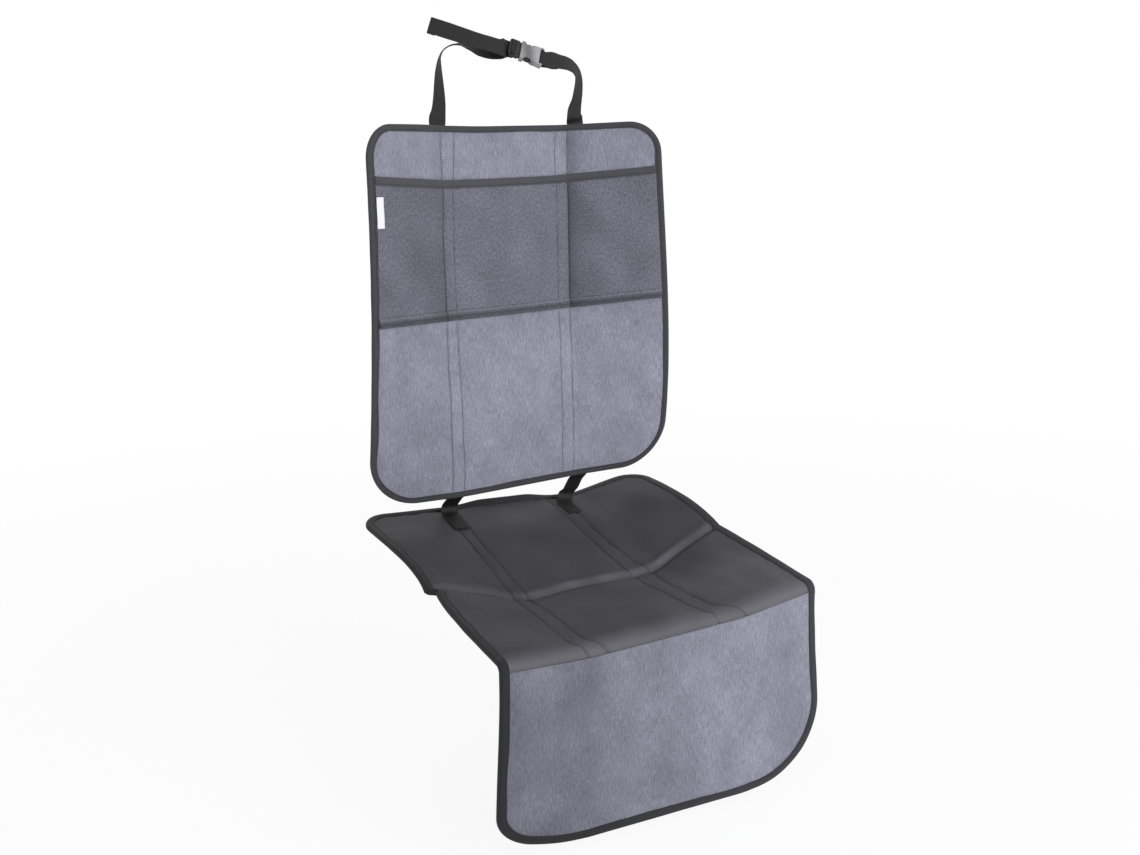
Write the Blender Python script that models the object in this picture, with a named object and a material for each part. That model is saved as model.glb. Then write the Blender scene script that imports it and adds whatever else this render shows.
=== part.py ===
"""A padded car seat protector mat, in the pose it has on a car seat.

A back panel with three pockets hangs from a buckled headrest strap. Two short straps join it to a
seat pad, which ends in a front flap. Metres, +Z up. The mat faces -Y, and +X is the viewer's right.
The origin is in the middle of the flat underside of the seat pad's front half, which lies on the
cushion.
"""
import math

import bmesh
import bpy
from mathutils import Matrix, Vector

# Both panels
WIDTH = 0.470               # over the bindings
GAP = 0.0003                # between pieces that are sewn or pressed together
GROOVE = 0.0012             # depth of a stitch line in the padding
GROOVE_REACH = 0.003        # from a stitch line out to the full thickness
WING_BEND = 0.020           # stretch of panel over which a side wing turns

# Binding tape
TAPE = 0.0008
BINDING_COVER = 0.009       # how far the edge binding reaches in over a panel
BINDING_ROUND = 0.0012      # how far its outer corners are rounded off

# Back panel, with angles at its bottom, middle and top
BACK_HEIGHT = 0.500
BACK_THICKNESS = 0.004
BACK_BOTTOM_CORNER = 0.070
BACK_TOP_CORNER = 0.045
BACK_CHANNELS = ((0.088, 0.106), (0.078, 0.096))  # from the middle to the left and right stitch lines
BACK_WING_START = 0.084     # from the middle of the panel to where its wings start to bend
BACK_LEAN = (-1.0, 5.0, 3.0)
BACK_LEFT_WING = (-10.0, 11.0, 19.0)
BACK_RIGHT_WING = (5.0, 27.0, 34.0)
BACK_TURN = 2.8
BACK_FORWARD = 0.0575       # from the seat pad's rear edge forward to the back panel's bottom edge
BACK_RISE = 0.0385          # from the seat pad's rear edge up to the back panel's bottom edge

# Pockets across the back panel
POCKET_DROP = 0.070         # from the panel's top edge down to the pockets' mouth
POCKET_DEPTH = 0.185
POCKET_CLOTH = 0.0008
POCKET_HEM = 0.014          # the rolled hem along the bottom
POCKET_HEM_SWELL = 0.0022
POCKET_BINDING_COVER = 0.013

# Side label
LABEL_WIDTH = 0.011
LABEL_LENGTH = 0.039
LABEL_DROP = 0.020          # below the pockets' mouth
LABEL_THICKNESS = 0.0005

# Seat pad and front flap, with slopes and lifts in degrees
SEAT_REAR = 0.225           # from the rear edge to the cross fold
SEAT_FRONT = 0.182          # from the cross fold to the front bend
SEAT_THICKNESS = 0.005
SEAT_REAR_CORNER = 0.042
SEAT_CHANNELS = ((0.096, 0.114), (0.065, 0.088))
SEAT_WING_START = 0.104
SEAT_REAR_SLOPE = 8.2       # downhill at the rear edge
SEAT_FOLD_SLOPE = 25.3      # downhill at the cross fold
SEAT_REAR_TWIST = -3.5      # across the rear edge
SEAT_LEFT_LIFT = (0.5, 18.2, 4.0)      # of the wings at the rear edge, the fold and the front
SEAT_RIGHT_LIFT = (12.3, 20.9, 6.0)
FOLD_GROOVE = 0.0020
FRONT_BEND = 0.010          # radius of the front edge
FLAP_LENGTH = 0.240
FLAP_CORNER = 0.100
FLAP_HANG = -1.0            # forward of plumb
FLAP_SWING = 4.6            # turn of its bottom edge

# Webbing
WEBBING_WIDTH = 0.025
WEBBING = 0.0015
HEADREST_STRAP_PLACES = (0.0970, 0.1155)  # from the middle of the panel, left and right
HEADREST_STRAP_SEWN = 0.035    # length sewn behind the panel
HEADREST_STRAP_RISE = 0.003    # from the panel's top edge to where the strap has turned
HEADREST_STRAP_TURN = 0.75     # how far it has turned there, as a share
HEADREST_STRAP_ACROSS = ((0.994, 0.109, -0.014), (0.993, 0.120, -0.012))  # once it has turned
JOINING_STRAP_UPPER = (0.102, 0.099)   # from the middle of the back panel, left and right
JOINING_STRAP_LOWER = (0.107, 0.077)   # from the middle of the seat pad
JOINING_STRAP_SEWN = 0.038     # length sewn behind the back panel
JOINING_STRAP_HUNG = 0.002     # from the back panel's bottom edge up to the strap's last seam
JOINING_STRAP_TOUCH = (0.036, 0.040)   # from the seat pad's rear edge to where it comes down
JOINING_STRAP_LAND = 0.046     # from the seat pad's rear edge to where the strap lies flat
JOINING_STRAP_END = 0.0715     # from the seat pad's rear edge to the strap's end
JOINING_STRAP_LIFT = 0.0016    # clear of the panels that bow under it
JOINING_STRAP_BOWS = (         # how far back and down from the back panel's bottom edge the straps bow
    ((0.0069, 0.0037), (0.0219, 0.0144), (0.0308, 0.0261), (0.0280, 0.0325)),
    ((0.0070, 0.0120), (0.0132, 0.0261), (0.0187, 0.0358), (0.0159, 0.0426)),
)
STRAP_SPARE = 0.0004           # between a strap and the buckle's bars
TAIL_HEM = 0.0095

# Side release buckle, in its own frame: x along it, y across the webbing, z out of its front
BUCKLE_LENGTH = 0.048
BUCKLE_WIDTH = 0.030
BUCKLE_THICKNESS = 0.0088
BUCKLE_PLACE = (0.0205, -0.0170, 0.0940)  # from the middle between the two strap bases
BUCKLE_ALONG = (0.884, -0.316, -0.343)
BUCKLE_ACROSS = (0.463, 0.505, 0.729)
PLUG_THICKNESS = 0.0036
PLUG_BAR = 0.0028
PLUG_BAR_THICKNESS = 0.0020
PLUG_END_BAR = 0.0022
PLUG_SLOT = 0.0028
PLUG_REACH = 0.016          # from the buckle's left end to the socket's mouth
ARM_LENGTH = 0.016
ARM_WIDTH = 0.0032
SOCKET_WALL = 0.0019
SOCKET_SLOT = 0.0026
SOCKET_END_BAR = 0.0030
SOCKET_BAR_THICKNESS = 0.0025
SLOT_SPARE = 0.0006         # each side of the webbing in a slot
ARM_SPARE = 0.0004          # round the plug inside the socket

CORNER_STEPS = 6            # straight lengths that draw a round corner
STEP = 0.0005               # used to take the slope of a surface


def clear_scene():
    for item in list(bpy.data.objects):
        bpy.data.objects.remove(item)


def material(name, colour, roughness, metallic=0.0):
    made = bpy.data.materials.new(name)
    made.use_nodes = True
    shader = made.node_tree.nodes["Principled BSDF"]
    shader.inputs["Base Color"].default_value = (*colour, 1.0)
    shader.inputs["Roughness"].default_value = roughness
    shader.inputs["Metallic"].default_value = metallic
    return made


def finished(name, bm, finish):
    """Turn a bmesh into a named object, with its faces pointing out."""
    bmesh.ops.recalc_face_normals(bm, faces=bm.faces)
    if bm.calc_volume(signed=True) < 0.0:
        bmesh.ops.reverse_faces(bm, faces=bm.faces)
    mesh = bpy.data.meshes.new(name)
    bm.to_mesh(mesh)
    bm.free()
    mesh.materials.append(finish)
    made = bpy.data.objects.new(name, mesh)
    bpy.context.scene.collection.objects.link(made)
    return made


def eased(share):
    """A share from 0 to 1 that starts and ends gently."""
    share = min(max(share, 0.0), 1.0)
    return share * share * (3.0 - 2.0 * share)


def through(values, share):
    """A value that passes smoothly from the first of three values through the others."""
    first, middle, last = values
    start = first * (1.0 - share) * (1.0 - 2.0 * share)
    return start + 4.0 * middle * share * (1.0 - share) + last * share * (2.0 * share - 1.0)


def turned_wing(distance, bend_start, degrees):
    """Where a point of a wing lies: how far out, and how far off the panel's middle plane."""
    angle = math.radians(degrees)
    if abs(angle) < 1e-5 or distance <= bend_start:
        return distance, 0.0
    radius = WING_BEND / angle
    turned = angle * min((distance - bend_start) / WING_BEND, 1.0)
    beyond = max(distance - bend_start - WING_BEND, 0.0)
    out = bend_start + radius * math.sin(turned) + beyond * math.cos(angle)
    return out, radius * (1.0 - math.cos(turned)) + beyond * math.sin(angle)


def seat_rise(along):
    """Height of the seat pad's rear half over its front half, at a distance from the rear edge."""
    slope_here = SEAT_REAR_SLOPE + (SEAT_FOLD_SLOPE - SEAT_REAR_SLOPE) * along / SEAT_REAR
    return (SEAT_REAR - along) * math.radians(slope_here + SEAT_FOLD_SLOPE) / 2.0


def front_bend_length():
    return FRONT_BEND * math.radians(90.0 - FLAP_HANG)


def seam_place():
    """From the seat pad's rear edge to the seam between the pad and the flap."""
    return SEAT_REAR + SEAT_FRONT + front_bend_length()


def seat_profile(along):
    """The seat pad's middle line, seen from the side: its y and z at a distance from the rear edge."""
    lean = math.radians((SEAT_REAR_SLOPE + SEAT_FOLD_SLOPE) / 2.0)
    hang = math.radians(FLAP_HANG)
    y = SEAT_FRONT / 2.0
    z = SEAT_THICKNESS / 2.0
    if along < SEAT_REAR:
        return y + (SEAT_REAR - along) * math.cos(lean), z + seat_rise(along)
    y -= min(along - SEAT_REAR, SEAT_FRONT)
    bent = min(max(along - SEAT_REAR - SEAT_FRONT, 0.0), front_bend_length()) / FRONT_BEND
    y -= FRONT_BEND * math.sin(bent)
    z -= FRONT_BEND * (1.0 - math.cos(bent))
    below = max(along - seam_place(), 0.0)
    return y - below * math.sin(hang), z - below * math.cos(hang)


def seat_middle(across, along):
    """The middle surface of the seat pad and its flap."""
    y, z = seat_profile(along)
    lifts = SEAT_LEFT_LIFT if across < 0.0 else SEAT_RIGHT_LIFT
    toward_fold = eased(along / SEAT_REAR)
    if along < SEAT_REAR:
        lift = lifts[0] + (lifts[1] - lifts[0]) * toward_fold
    else:
        lift = lifts[1] + (lifts[2] - lifts[1]) * min((along - SEAT_REAR) / SEAT_FRONT, 1.0)
    out, raised = turned_wing(abs(across), SEAT_WING_START, lift)
    z += raised + across * math.radians(SEAT_REAR_TWIST) * (1.0 - toward_fold)
    down_flap = eased((along - seam_place()) / FLAP_LENGTH)
    y -= across * math.radians(FLAP_SWING) * down_flap
    return Vector((math.copysign(out, across), y, z))


def back_base():
    """The middle of the back panel's bottom edge."""
    y, z = seat_profile(0.0)
    return Vector((0.0, y - BACK_FORWARD, z + BACK_RISE))


def back_middle(across, up):
    """The middle surface of the back panel."""
    share = up / BACK_HEIGHT
    wing = through(BACK_LEFT_WING if across < 0.0 else BACK_RIGHT_WING, share)
    out, forward = turned_wing(abs(across), BACK_WING_START, wing)
    low, middle, top = [math.radians(angle) for angle in BACK_LEAN]
    lean = through((low, middle, top), share)
    leaned = low * (share - 1.5 * share ** 2 + 2.0 / 3.0 * share ** 3)
    leaned += middle * (2.0 * share ** 2 - 4.0 / 3.0 * share ** 3)
    leaned += top * (2.0 / 3.0 * share ** 3 - share ** 2 / 2.0)
    y = BACK_HEIGHT * leaned - forward * math.cos(lean)
    z = up + forward * math.sin(lean)
    place = Vector((math.copysign(out, across), y, z))
    return back_base() + Matrix.Rotation(math.radians(BACK_TURN), 3, "Z") @ place


class Sheet:
    """A panel cut as a rectangle with round corners and laid along a curved middle surface."""

    def __init__(self, middle, face, length, corners, thickness):
        self.middle = middle
        self.face = face
        self.length = length
        self.first_corner, self.last_corner = corners
        self.thickness = thickness

    def normal(self, across, along):
        """The direction out of the panel's visible face."""
        over = self.middle(across + STEP, along) - self.middle(across - STEP, along)
        up = self.middle(across, along + STEP) - self.middle(across, along - STEP)
        return over.cross(up).normalized() * self.face

    def point(self, across, along, out):
        return self.middle(across, along) + self.normal(across, along) * out

    def station(self, across, along, out):
        """A place for a strap that lies on the panel, with the direction across the strap."""
        over = self.middle(across + STEP, along) - self.middle(across - STEP, along)
        return self.point(across, along, out), over.normalized()

    def half_width(self, along, inset):
        """Half the width at a distance from the first end, inside its round corners."""
        ends = ((self.first_corner, along), (self.last_corner, self.length - along))
        for radius, away in ends:
            if away < radius:
                rounded = max((radius - inset) ** 2 - (radius - away) ** 2, 0.0)
                return WIDTH / 2.0 - radius + math.sqrt(rounded)
        return WIDTH / 2.0 - inset

    def first_rows(self, inset):
        """Rows that draw the round corners of the first end."""
        angles = spaced(0.0, math.pi / 2.0, CORNER_STEPS)
        radius = self.first_corner
        return [radius - (radius - inset) * math.cos(angle) for angle in angles]

    def last_rows(self, inset):
        """Rows that draw the round corners of the last end."""
        angles = spaced(0.0, math.pi / 2.0, CORNER_STEPS)
        radius = self.last_corner
        away = [radius - (radius - inset) * math.cos(angle) for angle in angles]
        return [self.length - distance for distance in reversed(away)]

    def places(self, lines, along):
        """Places from edge to edge: the lines of the left and right, and more out to the edges."""
        edge = self.half_width(along, edge_inset())
        left, right = [spread(side, edge - BINDING_COVER) + [edge] for side in lines]
        return [-place for place in reversed(left)] + [0.0] + right

    def outline(self, lines, side_rows):
        """Places round the edge, each with the direction in from it, from the bottom right up."""
        half = WIDTH / 2.0
        first, last = self.first_corner, self.last_corner
        right = []
        for degrees in spaced(-90.0, 0.0, CORNER_STEPS):
            out = Vector((math.cos(math.radians(degrees)), math.sin(math.radians(degrees))))
            right.append((Vector((half - first, first)) + out * first, -out))
        right += [(Vector((half, row)), Vector((-1.0, 0.0))) for row in side_rows]
        for degrees in spaced(0.0, 90.0, CORNER_STEPS):
            out = Vector((math.cos(math.radians(degrees)), math.sin(math.radians(degrees))))
            right.append((Vector((half - last, self.length - last)) + out * last, -out))
        left = [(Vector((-place.x, place.y)), Vector((-inward.x, inward.y))) for place, inward in right]
        columns_low = self.places(lines, 0.0)[1:-1]
        columns_high = self.places(lines, self.length)[1:-1]
        bottom = [(Vector((column, 0.0)), Vector((0.0, 1.0))) for column in columns_low]
        top = [(Vector((column, self.length)), Vector((0.0, -1.0))) for column in reversed(columns_high)]
        return right + top + left[::-1] + bottom


def back_sheet():
    corners = (BACK_BOTTOM_CORNER, BACK_TOP_CORNER)
    return Sheet(back_middle, 1.0, BACK_HEIGHT, corners, BACK_THICKNESS)


def seat_sheet():
    corners = (SEAT_REAR_CORNER, FLAP_CORNER)
    return Sheet(seat_middle, -1.0, seam_place() + FLAP_LENGTH, corners, SEAT_THICKNESS)


def edge_inset():
    """How far a panel's own edge lies inside the outer face of its binding."""
    return TAPE + GAP


def spaced(start, end, count):
    return [start + (end - start) * step / count for step in range(count + 1)]


def spread(lines, outer):
    """The given places across half a panel, and three more out to its outer part."""
    return list(lines[:-1]) + spaced(lines[-1], outer, 3)


def panel_lines(channels, wing_start):
    """Places across the left and right half of a panel: its grooves, and the bends of its wings."""
    bends = spaced(wing_start, wing_start + WING_BEND, 2)
    sides = []
    for side in channels:
        grooves = [line + offset for line in side for offset in (-GROOVE_REACH, 0.0, GROOVE_REACH)]
        clear = [bend for bend in bends if min(abs(bend - groove) for groove in grooves) > 1.2 * GROOVE_REACH]
        sides.append([0.042] + sorted(grooves + clear))
    return sides


def stitch_lines(channels):
    """Places across a panel of all its stitch lines."""
    left, right = channels
    return [-line for line in left] + list(right)


def groove_depth(place, lines, depth):
    """How far a stitch line near this place pulls the padding in."""
    nearest = min(abs(place - line) for line in lines)
    return depth * max(1.0 - nearest / GROOVE_REACH, 0.0)


def slab(name, sheet, rows, row_places, low, high, finish):
    """A closed panel on a grid, between the heights low and high over the sheet's middle surface."""
    columns = len(row_places(rows[0])) - 1
    bm = bmesh.new()
    bmesh.ops.create_grid(bm, x_segments=columns, y_segments=len(rows) - 1, size=0.5)
    raised = bmesh.ops.extrude_face_region(bm, geom=bm.faces[:])["geom"]
    top = [item for item in raised if isinstance(item, bmesh.types.BMVert)]
    bmesh.ops.translate(bm, verts=top, vec=(0.0, 0.0, 1.0))
    places = [row_places(along) for along in rows]
    for vert in bm.verts:
        column = round((vert.co.x + 0.5) * columns)
        row = round((vert.co.y + 0.5) * (len(rows) - 1))
        across = places[row][column]
        height = high if vert.co.z > 0.5 else low
        vert.co = sheet.point(across, rows[row], height(across, rows[row]))
    return finished(name, bm, finish)


def swept(rings, closed):
    """A body drawn through rings of points: an end face is extruded from each ring to the next."""
    bm = bmesh.new()
    first = bm.faces.new([bm.verts.new(place) for place in rings[0]])
    face = first
    following = rings[1:] + rings[:1] if closed else rings[1:]
    for ring in following:
        moved = bmesh.ops.extrude_face_region(bm, geom=[face, *face.edges])["geom"]
        face = next(item for item in moved if isinstance(item, bmesh.types.BMFace))
        for vert, place in zip(face.verts, ring):
            vert.co = place
    if closed:
        bmesh.ops.delete(bm, geom=[first, face], context="FACES_ONLY")
        bmesh.ops.remove_doubles(bm, verts=bm.verts, dist=GAP / 100.0)
    return bm


def binding_profile(cover, half_thickness):
    """A folded tape in section: distances in from its outer face, and heights over the middle."""
    inner = half_thickness + GAP
    outer = inner + TAPE
    shoulder = outer - BINDING_ROUND
    outside = [(cover, outer), (BINDING_ROUND, outer), (0.0, shoulder), (0.0, -shoulder)]
    outside += [(BINDING_ROUND, -outer), (cover, -outer)]
    inside = [(cover, -inner), (TAPE, -inner), (TAPE, inner), (cover, inner)]
    return outside + inside


def binding(name, sheet, outline, finish):
    """The tape folded round a panel's whole edge."""
    profile = binding_profile(BINDING_COVER, sheet.thickness / 2.0)
    rings = []
    for place, inward in outline:
        ring = []
        for depth, height in profile:
            spot = place + inward * depth
            ring.append(sheet.point(spot.x, spot.y, height))
        rings.append(ring)
    return finished(name, swept(rings, True), finish)


def webbing_rings(stations):
    """Sections of a strap through stations, each a point and the direction across the strap."""
    rings = []
    for index, (place, across) in enumerate(stations):
        before = stations[max(index - 1, 0)][0]
        after = stations[min(index + 1, len(stations) - 1)][0]
        along = (after - before).normalized()
        side = (across - along * across.dot(along)).normalized() * WEBBING_WIDTH / 2.0
        out = along.cross(side).normalized() * WEBBING / 2.0
        rings.append([place - side - out, place + side - out, place + side + out, place - side + out])
    return rings


def headings(stations):
    """The direction of travel at each station, closer to that of the shorter length beside it."""
    lengths = [after[0] - before[0] for before, after in zip(stations, stations[1:])]
    found = [lengths[0].normalized()]
    for before, after in zip(lengths, lengths[1:]):
        found.append((before.normalized() / before.length + after.normalized() / after.length).normalized())
    return found + [lengths[-1].normalized()]


def smooth_stations(stations, steps):
    """Extra stations along a smooth curve through the given ones."""
    travel = headings(stations)
    curve = []
    for index in range(len(stations) - 1):
        (start, across), (end, next_across) = stations[index:index + 2]
        length = (end - start).length
        for share in spaced(0.0, 1.0, steps)[:-1]:
            gone = share * share * (3.0 - 2.0 * share)
            leaving = share * (1.0 - share) ** 2 * length
            arriving = share ** 2 * (share - 1.0) * length
            place = start.lerp(end, gone) + travel[index] * leaving + travel[index + 1] * arriving
            curve.append((place, across.lerp(next_across, share)))
    return curve + [stations[-1]]


def back_lines():
    return panel_lines(BACK_CHANNELS, BACK_WING_START)


def pocket_mouth():
    """Height of the pockets' top edge on the back panel."""
    return BACK_HEIGHT - POCKET_DROP


def pocket_rows():
    """Rows of the pocket cloth from its bottom to its mouth, close together over the hem."""
    bottom = pocket_mouth() - POCKET_DEPTH
    hem = [bottom + POCKET_HEM * share for share in (0.0, 0.2, 0.5, 0.8, 1.0)]
    covered = pocket_mouth() - POCKET_BINDING_COVER
    return hem + spaced(hem[-1], covered, 5)[1:] + [pocket_mouth() - TAPE - GAP]


def back_side_rows():
    """Rows of the back panel between its corners, the same as the pocket's behind the pocket."""
    behind = pocket_rows()
    below = spaced(BACK_BOTTOM_CORNER, behind[0], 6)[1:-1]
    above = spaced(behind[-1], BACK_HEIGHT - BACK_TOP_CORNER, 2)[1:-1]
    return below + behind + above


def make_back_panel(finish):
    """The padded back panel, with its four stitch lines pressed into the front."""
    sheet = back_sheet()
    rows = sheet.first_rows(edge_inset()) + back_side_rows() + sheet.last_rows(edge_inset())
    channels = stitch_lines(BACK_CHANNELS)
    half = BACK_THICKNESS / 2.0

    def places(along):
        return sheet.places(back_lines(), along)

    def rear(across, along):
        return -half

    def front(across, along):
        return half - groove_depth(across, channels, GROOVE)

    return slab("back_panel", sheet, rows, places, rear, front, finish)


def make_back_binding(finish):
    sheet = back_sheet()
    return binding("back_binding", sheet, sheet.outline(back_lines(), back_side_rows()), finish)


def pocket_stand():
    """Height of the pocket cloth's inner face over the back panel's middle surface."""
    return BACK_THICKNESS / 2.0 + GAP + TAPE + GAP


def pocket_half_width():
    return WIDTH / 2.0 - BINDING_COVER - GAP


def pocket_places(along):
    left, right = [spread(side, pocket_half_width()) for side in back_lines()]
    return [-place for place in reversed(left)] + [0.0] + right


def make_pocket_panel(finish):
    """One cloth across the panel, sewn down at both channels, with a rolled hem along its bottom."""
    rows = pocket_rows()
    bottom = rows[0]
    channels = stitch_lines(BACK_CHANNELS)

    def settled(across, along):
        """The cloth lies on the panel at its bottom and rises to make room for the mouth's tape."""
        rise = eased((along - bottom) / (POCKET_DEPTH - POCKET_BINDING_COVER))
        seated = BACK_THICKNESS / 2.0 + GAP
        return seated + (pocket_stand() - seated) * rise

    def inner(across, along):
        return settled(across, along)

    def outer(across, along):
        into_hem = min(max(1.0 - (along - bottom) / POCKET_HEM, 0.0), 1.0)
        swell = POCKET_HEM_SWELL * math.sin(math.pi * min(into_hem * 1.25, 1.0) / 1.25 * 0.9)
        pressed = groove_depth(across, channels, POCKET_CLOTH / 2.0) * (1.0 - into_hem)
        return settled(across, along) + POCKET_CLOTH + max(swell, 0.0) - pressed

    return slab("pocket_panel", back_sheet(), rows, pocket_places, inner, outer, finish)


def make_pocket_top_binding(finish):
    """The wide tape folded over the pockets' mouth."""
    sheet = back_sheet()
    middle = pocket_stand() + POCKET_CLOTH / 2.0
    profile = binding_profile(POCKET_BINDING_COVER, POCKET_CLOTH / 2.0)
    shoulder = POCKET_CLOTH / 2.0 + GAP
    rings = []
    for across in pocket_places(pocket_mouth()):
        ring = []
        for depth, height in profile:
            level = min(max(height, -shoulder - TAPE), shoulder + TAPE)
            ring.append(sheet.point(across, pocket_mouth() - depth, middle + level))
        rings.append(ring)
    return finished("pocket_top_binding", swept(rings, False), finish)


def make_side_label(finish):
    """A bare woven label sewn in at the left edge of the pocket."""
    sheet = back_sheet()
    top = pocket_mouth() - LABEL_DROP
    outer = -pocket_half_width() + GAP
    columns = spaced(outer, outer + LABEL_WIDTH, 2)
    rows = spaced(top - LABEL_LENGTH, top, 4)
    seat = pocket_stand() + POCKET_CLOTH + 2.0 * GAP

    def under(across, along):
        return seat

    def over(across, along):
        return seat + LABEL_THICKNESS

    return slab("side_label", sheet, rows, lambda along: columns, under, over, finish)


def seat_lines():
    return panel_lines(SEAT_CHANNELS, SEAT_WING_START)


def pad_side_rows():
    """Rows of the seat pad from its rear corners to its seam, close together where it folds."""
    fold = [SEAT_REAR + GROOVE_REACH * step for step in (-4.0, -1.0, 0.0, 1.0)]
    rows = spaced(SEAT_REAR_CORNER, fold[0], 5)[1:-1] + fold
    rows += spaced(fold[-1], SEAT_REAR + SEAT_FRONT, 5)[1:]
    return rows + spaced(SEAT_REAR + SEAT_FRONT, seam_place(), 4)[1:-1]


def flap_side_rows():
    return spaced(seam_place(), seat_sheet().length - FLAP_CORNER, 5)[1:-1]


def make_seat_pad(finish):
    """The padded seat, with two channels and the valley of the cross fold pressed into its top."""
    sheet = seat_sheet()
    rows = sheet.first_rows(edge_inset()) + pad_side_rows() + [seam_place() - GAP / 2.0]
    channels = stitch_lines(SEAT_CHANNELS)
    half = SEAT_THICKNESS / 2.0

    def places(along):
        return sheet.places(seat_lines(), along)

    def underside(across, along):
        return -half

    def top(across, along):
        fold = groove_depth(along, (SEAT_REAR,), FOLD_GROOVE)
        return half - max(groove_depth(across, channels, GROOVE), fold)

    return slab("seat_pad", sheet, rows, places, underside, top, finish)


def make_front_flap(finish):
    """The flap that hangs over the front of the seat, sewn on below the front bend."""
    sheet = seat_sheet()
    rows = [seam_place() + GAP / 2.0] + flap_side_rows() + sheet.last_rows(edge_inset())
    half = SEAT_THICKNESS / 2.0

    def places(along):
        return sheet.places(seat_lines(), along)

    def back(across, along):
        return -half

    def front(across, along):
        return half

    return slab("front_flap", sheet, rows, places, back, front, finish)


def make_seat_binding(finish):
    sheet = seat_sheet()
    rows = pad_side_rows() + [seam_place()] + flap_side_rows()
    return binding("seat_binding", sheet, sheet.outline(seat_lines(), rows), finish)


def strap_backing():
    """Height of a strap's middle behind the back panel's binding, below the middle surface."""
    return -(BACK_THICKNESS / 2.0 + GAP + TAPE + GAP + WEBBING / 2.0)


def of_side(side, pair):
    """The left or the right one of a pair of values."""
    return pair[0] if side < 0.0 else pair[1]


def strap_start(side):
    """Where a headrest strap leaves the back panel's top edge."""
    place = side * of_side(side, HEADREST_STRAP_PLACES)
    return back_sheet().point(place, BACK_HEIGHT, strap_backing())


def strap_base(side):
    """The sewn end of a headrest strap, and its station over the top edge, turned and clear of it."""
    sheet = back_sheet()
    place = side * of_side(side, HEADREST_STRAP_PLACES)
    ups = (BACK_HEIGHT - HEADREST_STRAP_SEWN, BACK_HEIGHT - 0.35 * HEADREST_STRAP_SEWN)
    over = BACK_HEIGHT + HEADREST_STRAP_RISE
    point, level = sheet.station(place, over, strap_backing())
    turned = level.lerp(Vector(of_side(side, HEADREST_STRAP_ACROSS)), HEADREST_STRAP_TURN).normalized()
    normal = sheet.normal(place, over)
    clear = WEBBING_WIDTH / 2.0 * abs(turned.dot(normal))
    return [sheet.station(place, up, strap_backing()) for up in ups] + [(point - normal * clear, turned)]


def buckle_frame():
    """The buckle's place and directions, as a matrix from its own frame to the mat's."""
    middle = (strap_start(-1.0) + strap_start(1.0)) / 2.0
    along = Vector(BUCKLE_ALONG).normalized()
    across = Vector(BUCKLE_ACROSS)
    across = (across - along * across.dot(along)).normalized()
    front = along.cross(across)
    turn = Matrix((along, across, front)).transposed().to_4x4()
    return Matrix.Translation(middle + Vector(BUCKLE_PLACE)) @ turn


def in_buckle(along, front):
    """A strap station given in the buckle's own frame."""
    frame = buckle_frame()
    return frame @ Vector((along, 0.0, front)), frame.to_3x3() @ Vector((0.0, 1.0, 0.0))


def between(start, end, shares, backward, across):
    """A strap station at shares of the way from one point to another, in X and Z."""
    place = Vector((
        start.x + (end.x - start.x) * shares[0],
        start.y + backward,
        start.z + (end.z - start.z) * shares[1],
    ))
    return place, Vector(across).normalized()


def plug_slots():
    """Places along the buckle of the plug's slots and bars, from its left end."""
    left = -BUCKLE_LENGTH / 2.0
    outer_slot = left + PLUG_END_BAR
    bar = outer_slot + PLUG_SLOT
    inner_slot = bar + PLUG_BAR
    return left, outer_slot, bar, inner_slot, inner_slot + PLUG_SLOT


def round_corner(corner, level, toward):
    """Three stations that take a strap round a bar's corner, from the slot beside it to its face."""
    reach = WEBBING / 2.0 + STRAP_SPARE
    side = math.copysign(1.0, toward)
    face = math.copysign(reach, level)
    return [
        in_buckle(corner + side * reach, level),
        in_buckle(corner + side * reach * 0.71, level + face * 0.71),
        in_buckle(corner, level + face),
    ]


def adjuster_stations():
    """The strap's way through the plug: in from behind, over the bar, and out behind the end bar."""
    left, outer_slot, bar, inner_slot, body = plug_slots()
    top = PLUG_BAR_THICKNESS / 2.0
    rear = -PLUG_THICKNESS / 2.0
    loaded = rear - 2.0 * WEBBING - 3.0 * STRAP_SPARE
    slot_middle = (inner_slot + body) / 2.0
    stations = [in_buckle(left, loaded), in_buckle(bar, loaded)]
    stations += [in_buckle(inner_slot + 0.0006, loaded + 0.0010), in_buckle(slot_middle, rear)]
    stations += round_corner(inner_slot, top, 1.0)
    stations += reversed(round_corner(bar, top, -1.0))
    stations += round_corner(outer_slot, rear, 1.0)
    return stations + [in_buckle(left, rear - WEBBING / 2.0 - STRAP_SPARE)]


def folded_end(before, last):
    """Stations that fold a strap's end back on itself, behind it."""
    place, across = last
    along = (place - before[0]).normalized()
    across = (across - along * across.dot(along)).normalized()
    behind = along.cross(across)
    layers = WEBBING + GAP
    return [
        (place + along * layers * 0.35 + behind * layers * 0.15, across),
        (place + along * layers * 0.50 + behind * layers * 0.50, across),
        (place + along * layers * 0.35 + behind * layers * 0.85, across),
        (place + behind * layers, across),
        (place - along * TAIL_HEM + behind * layers, across),
    ]


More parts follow.
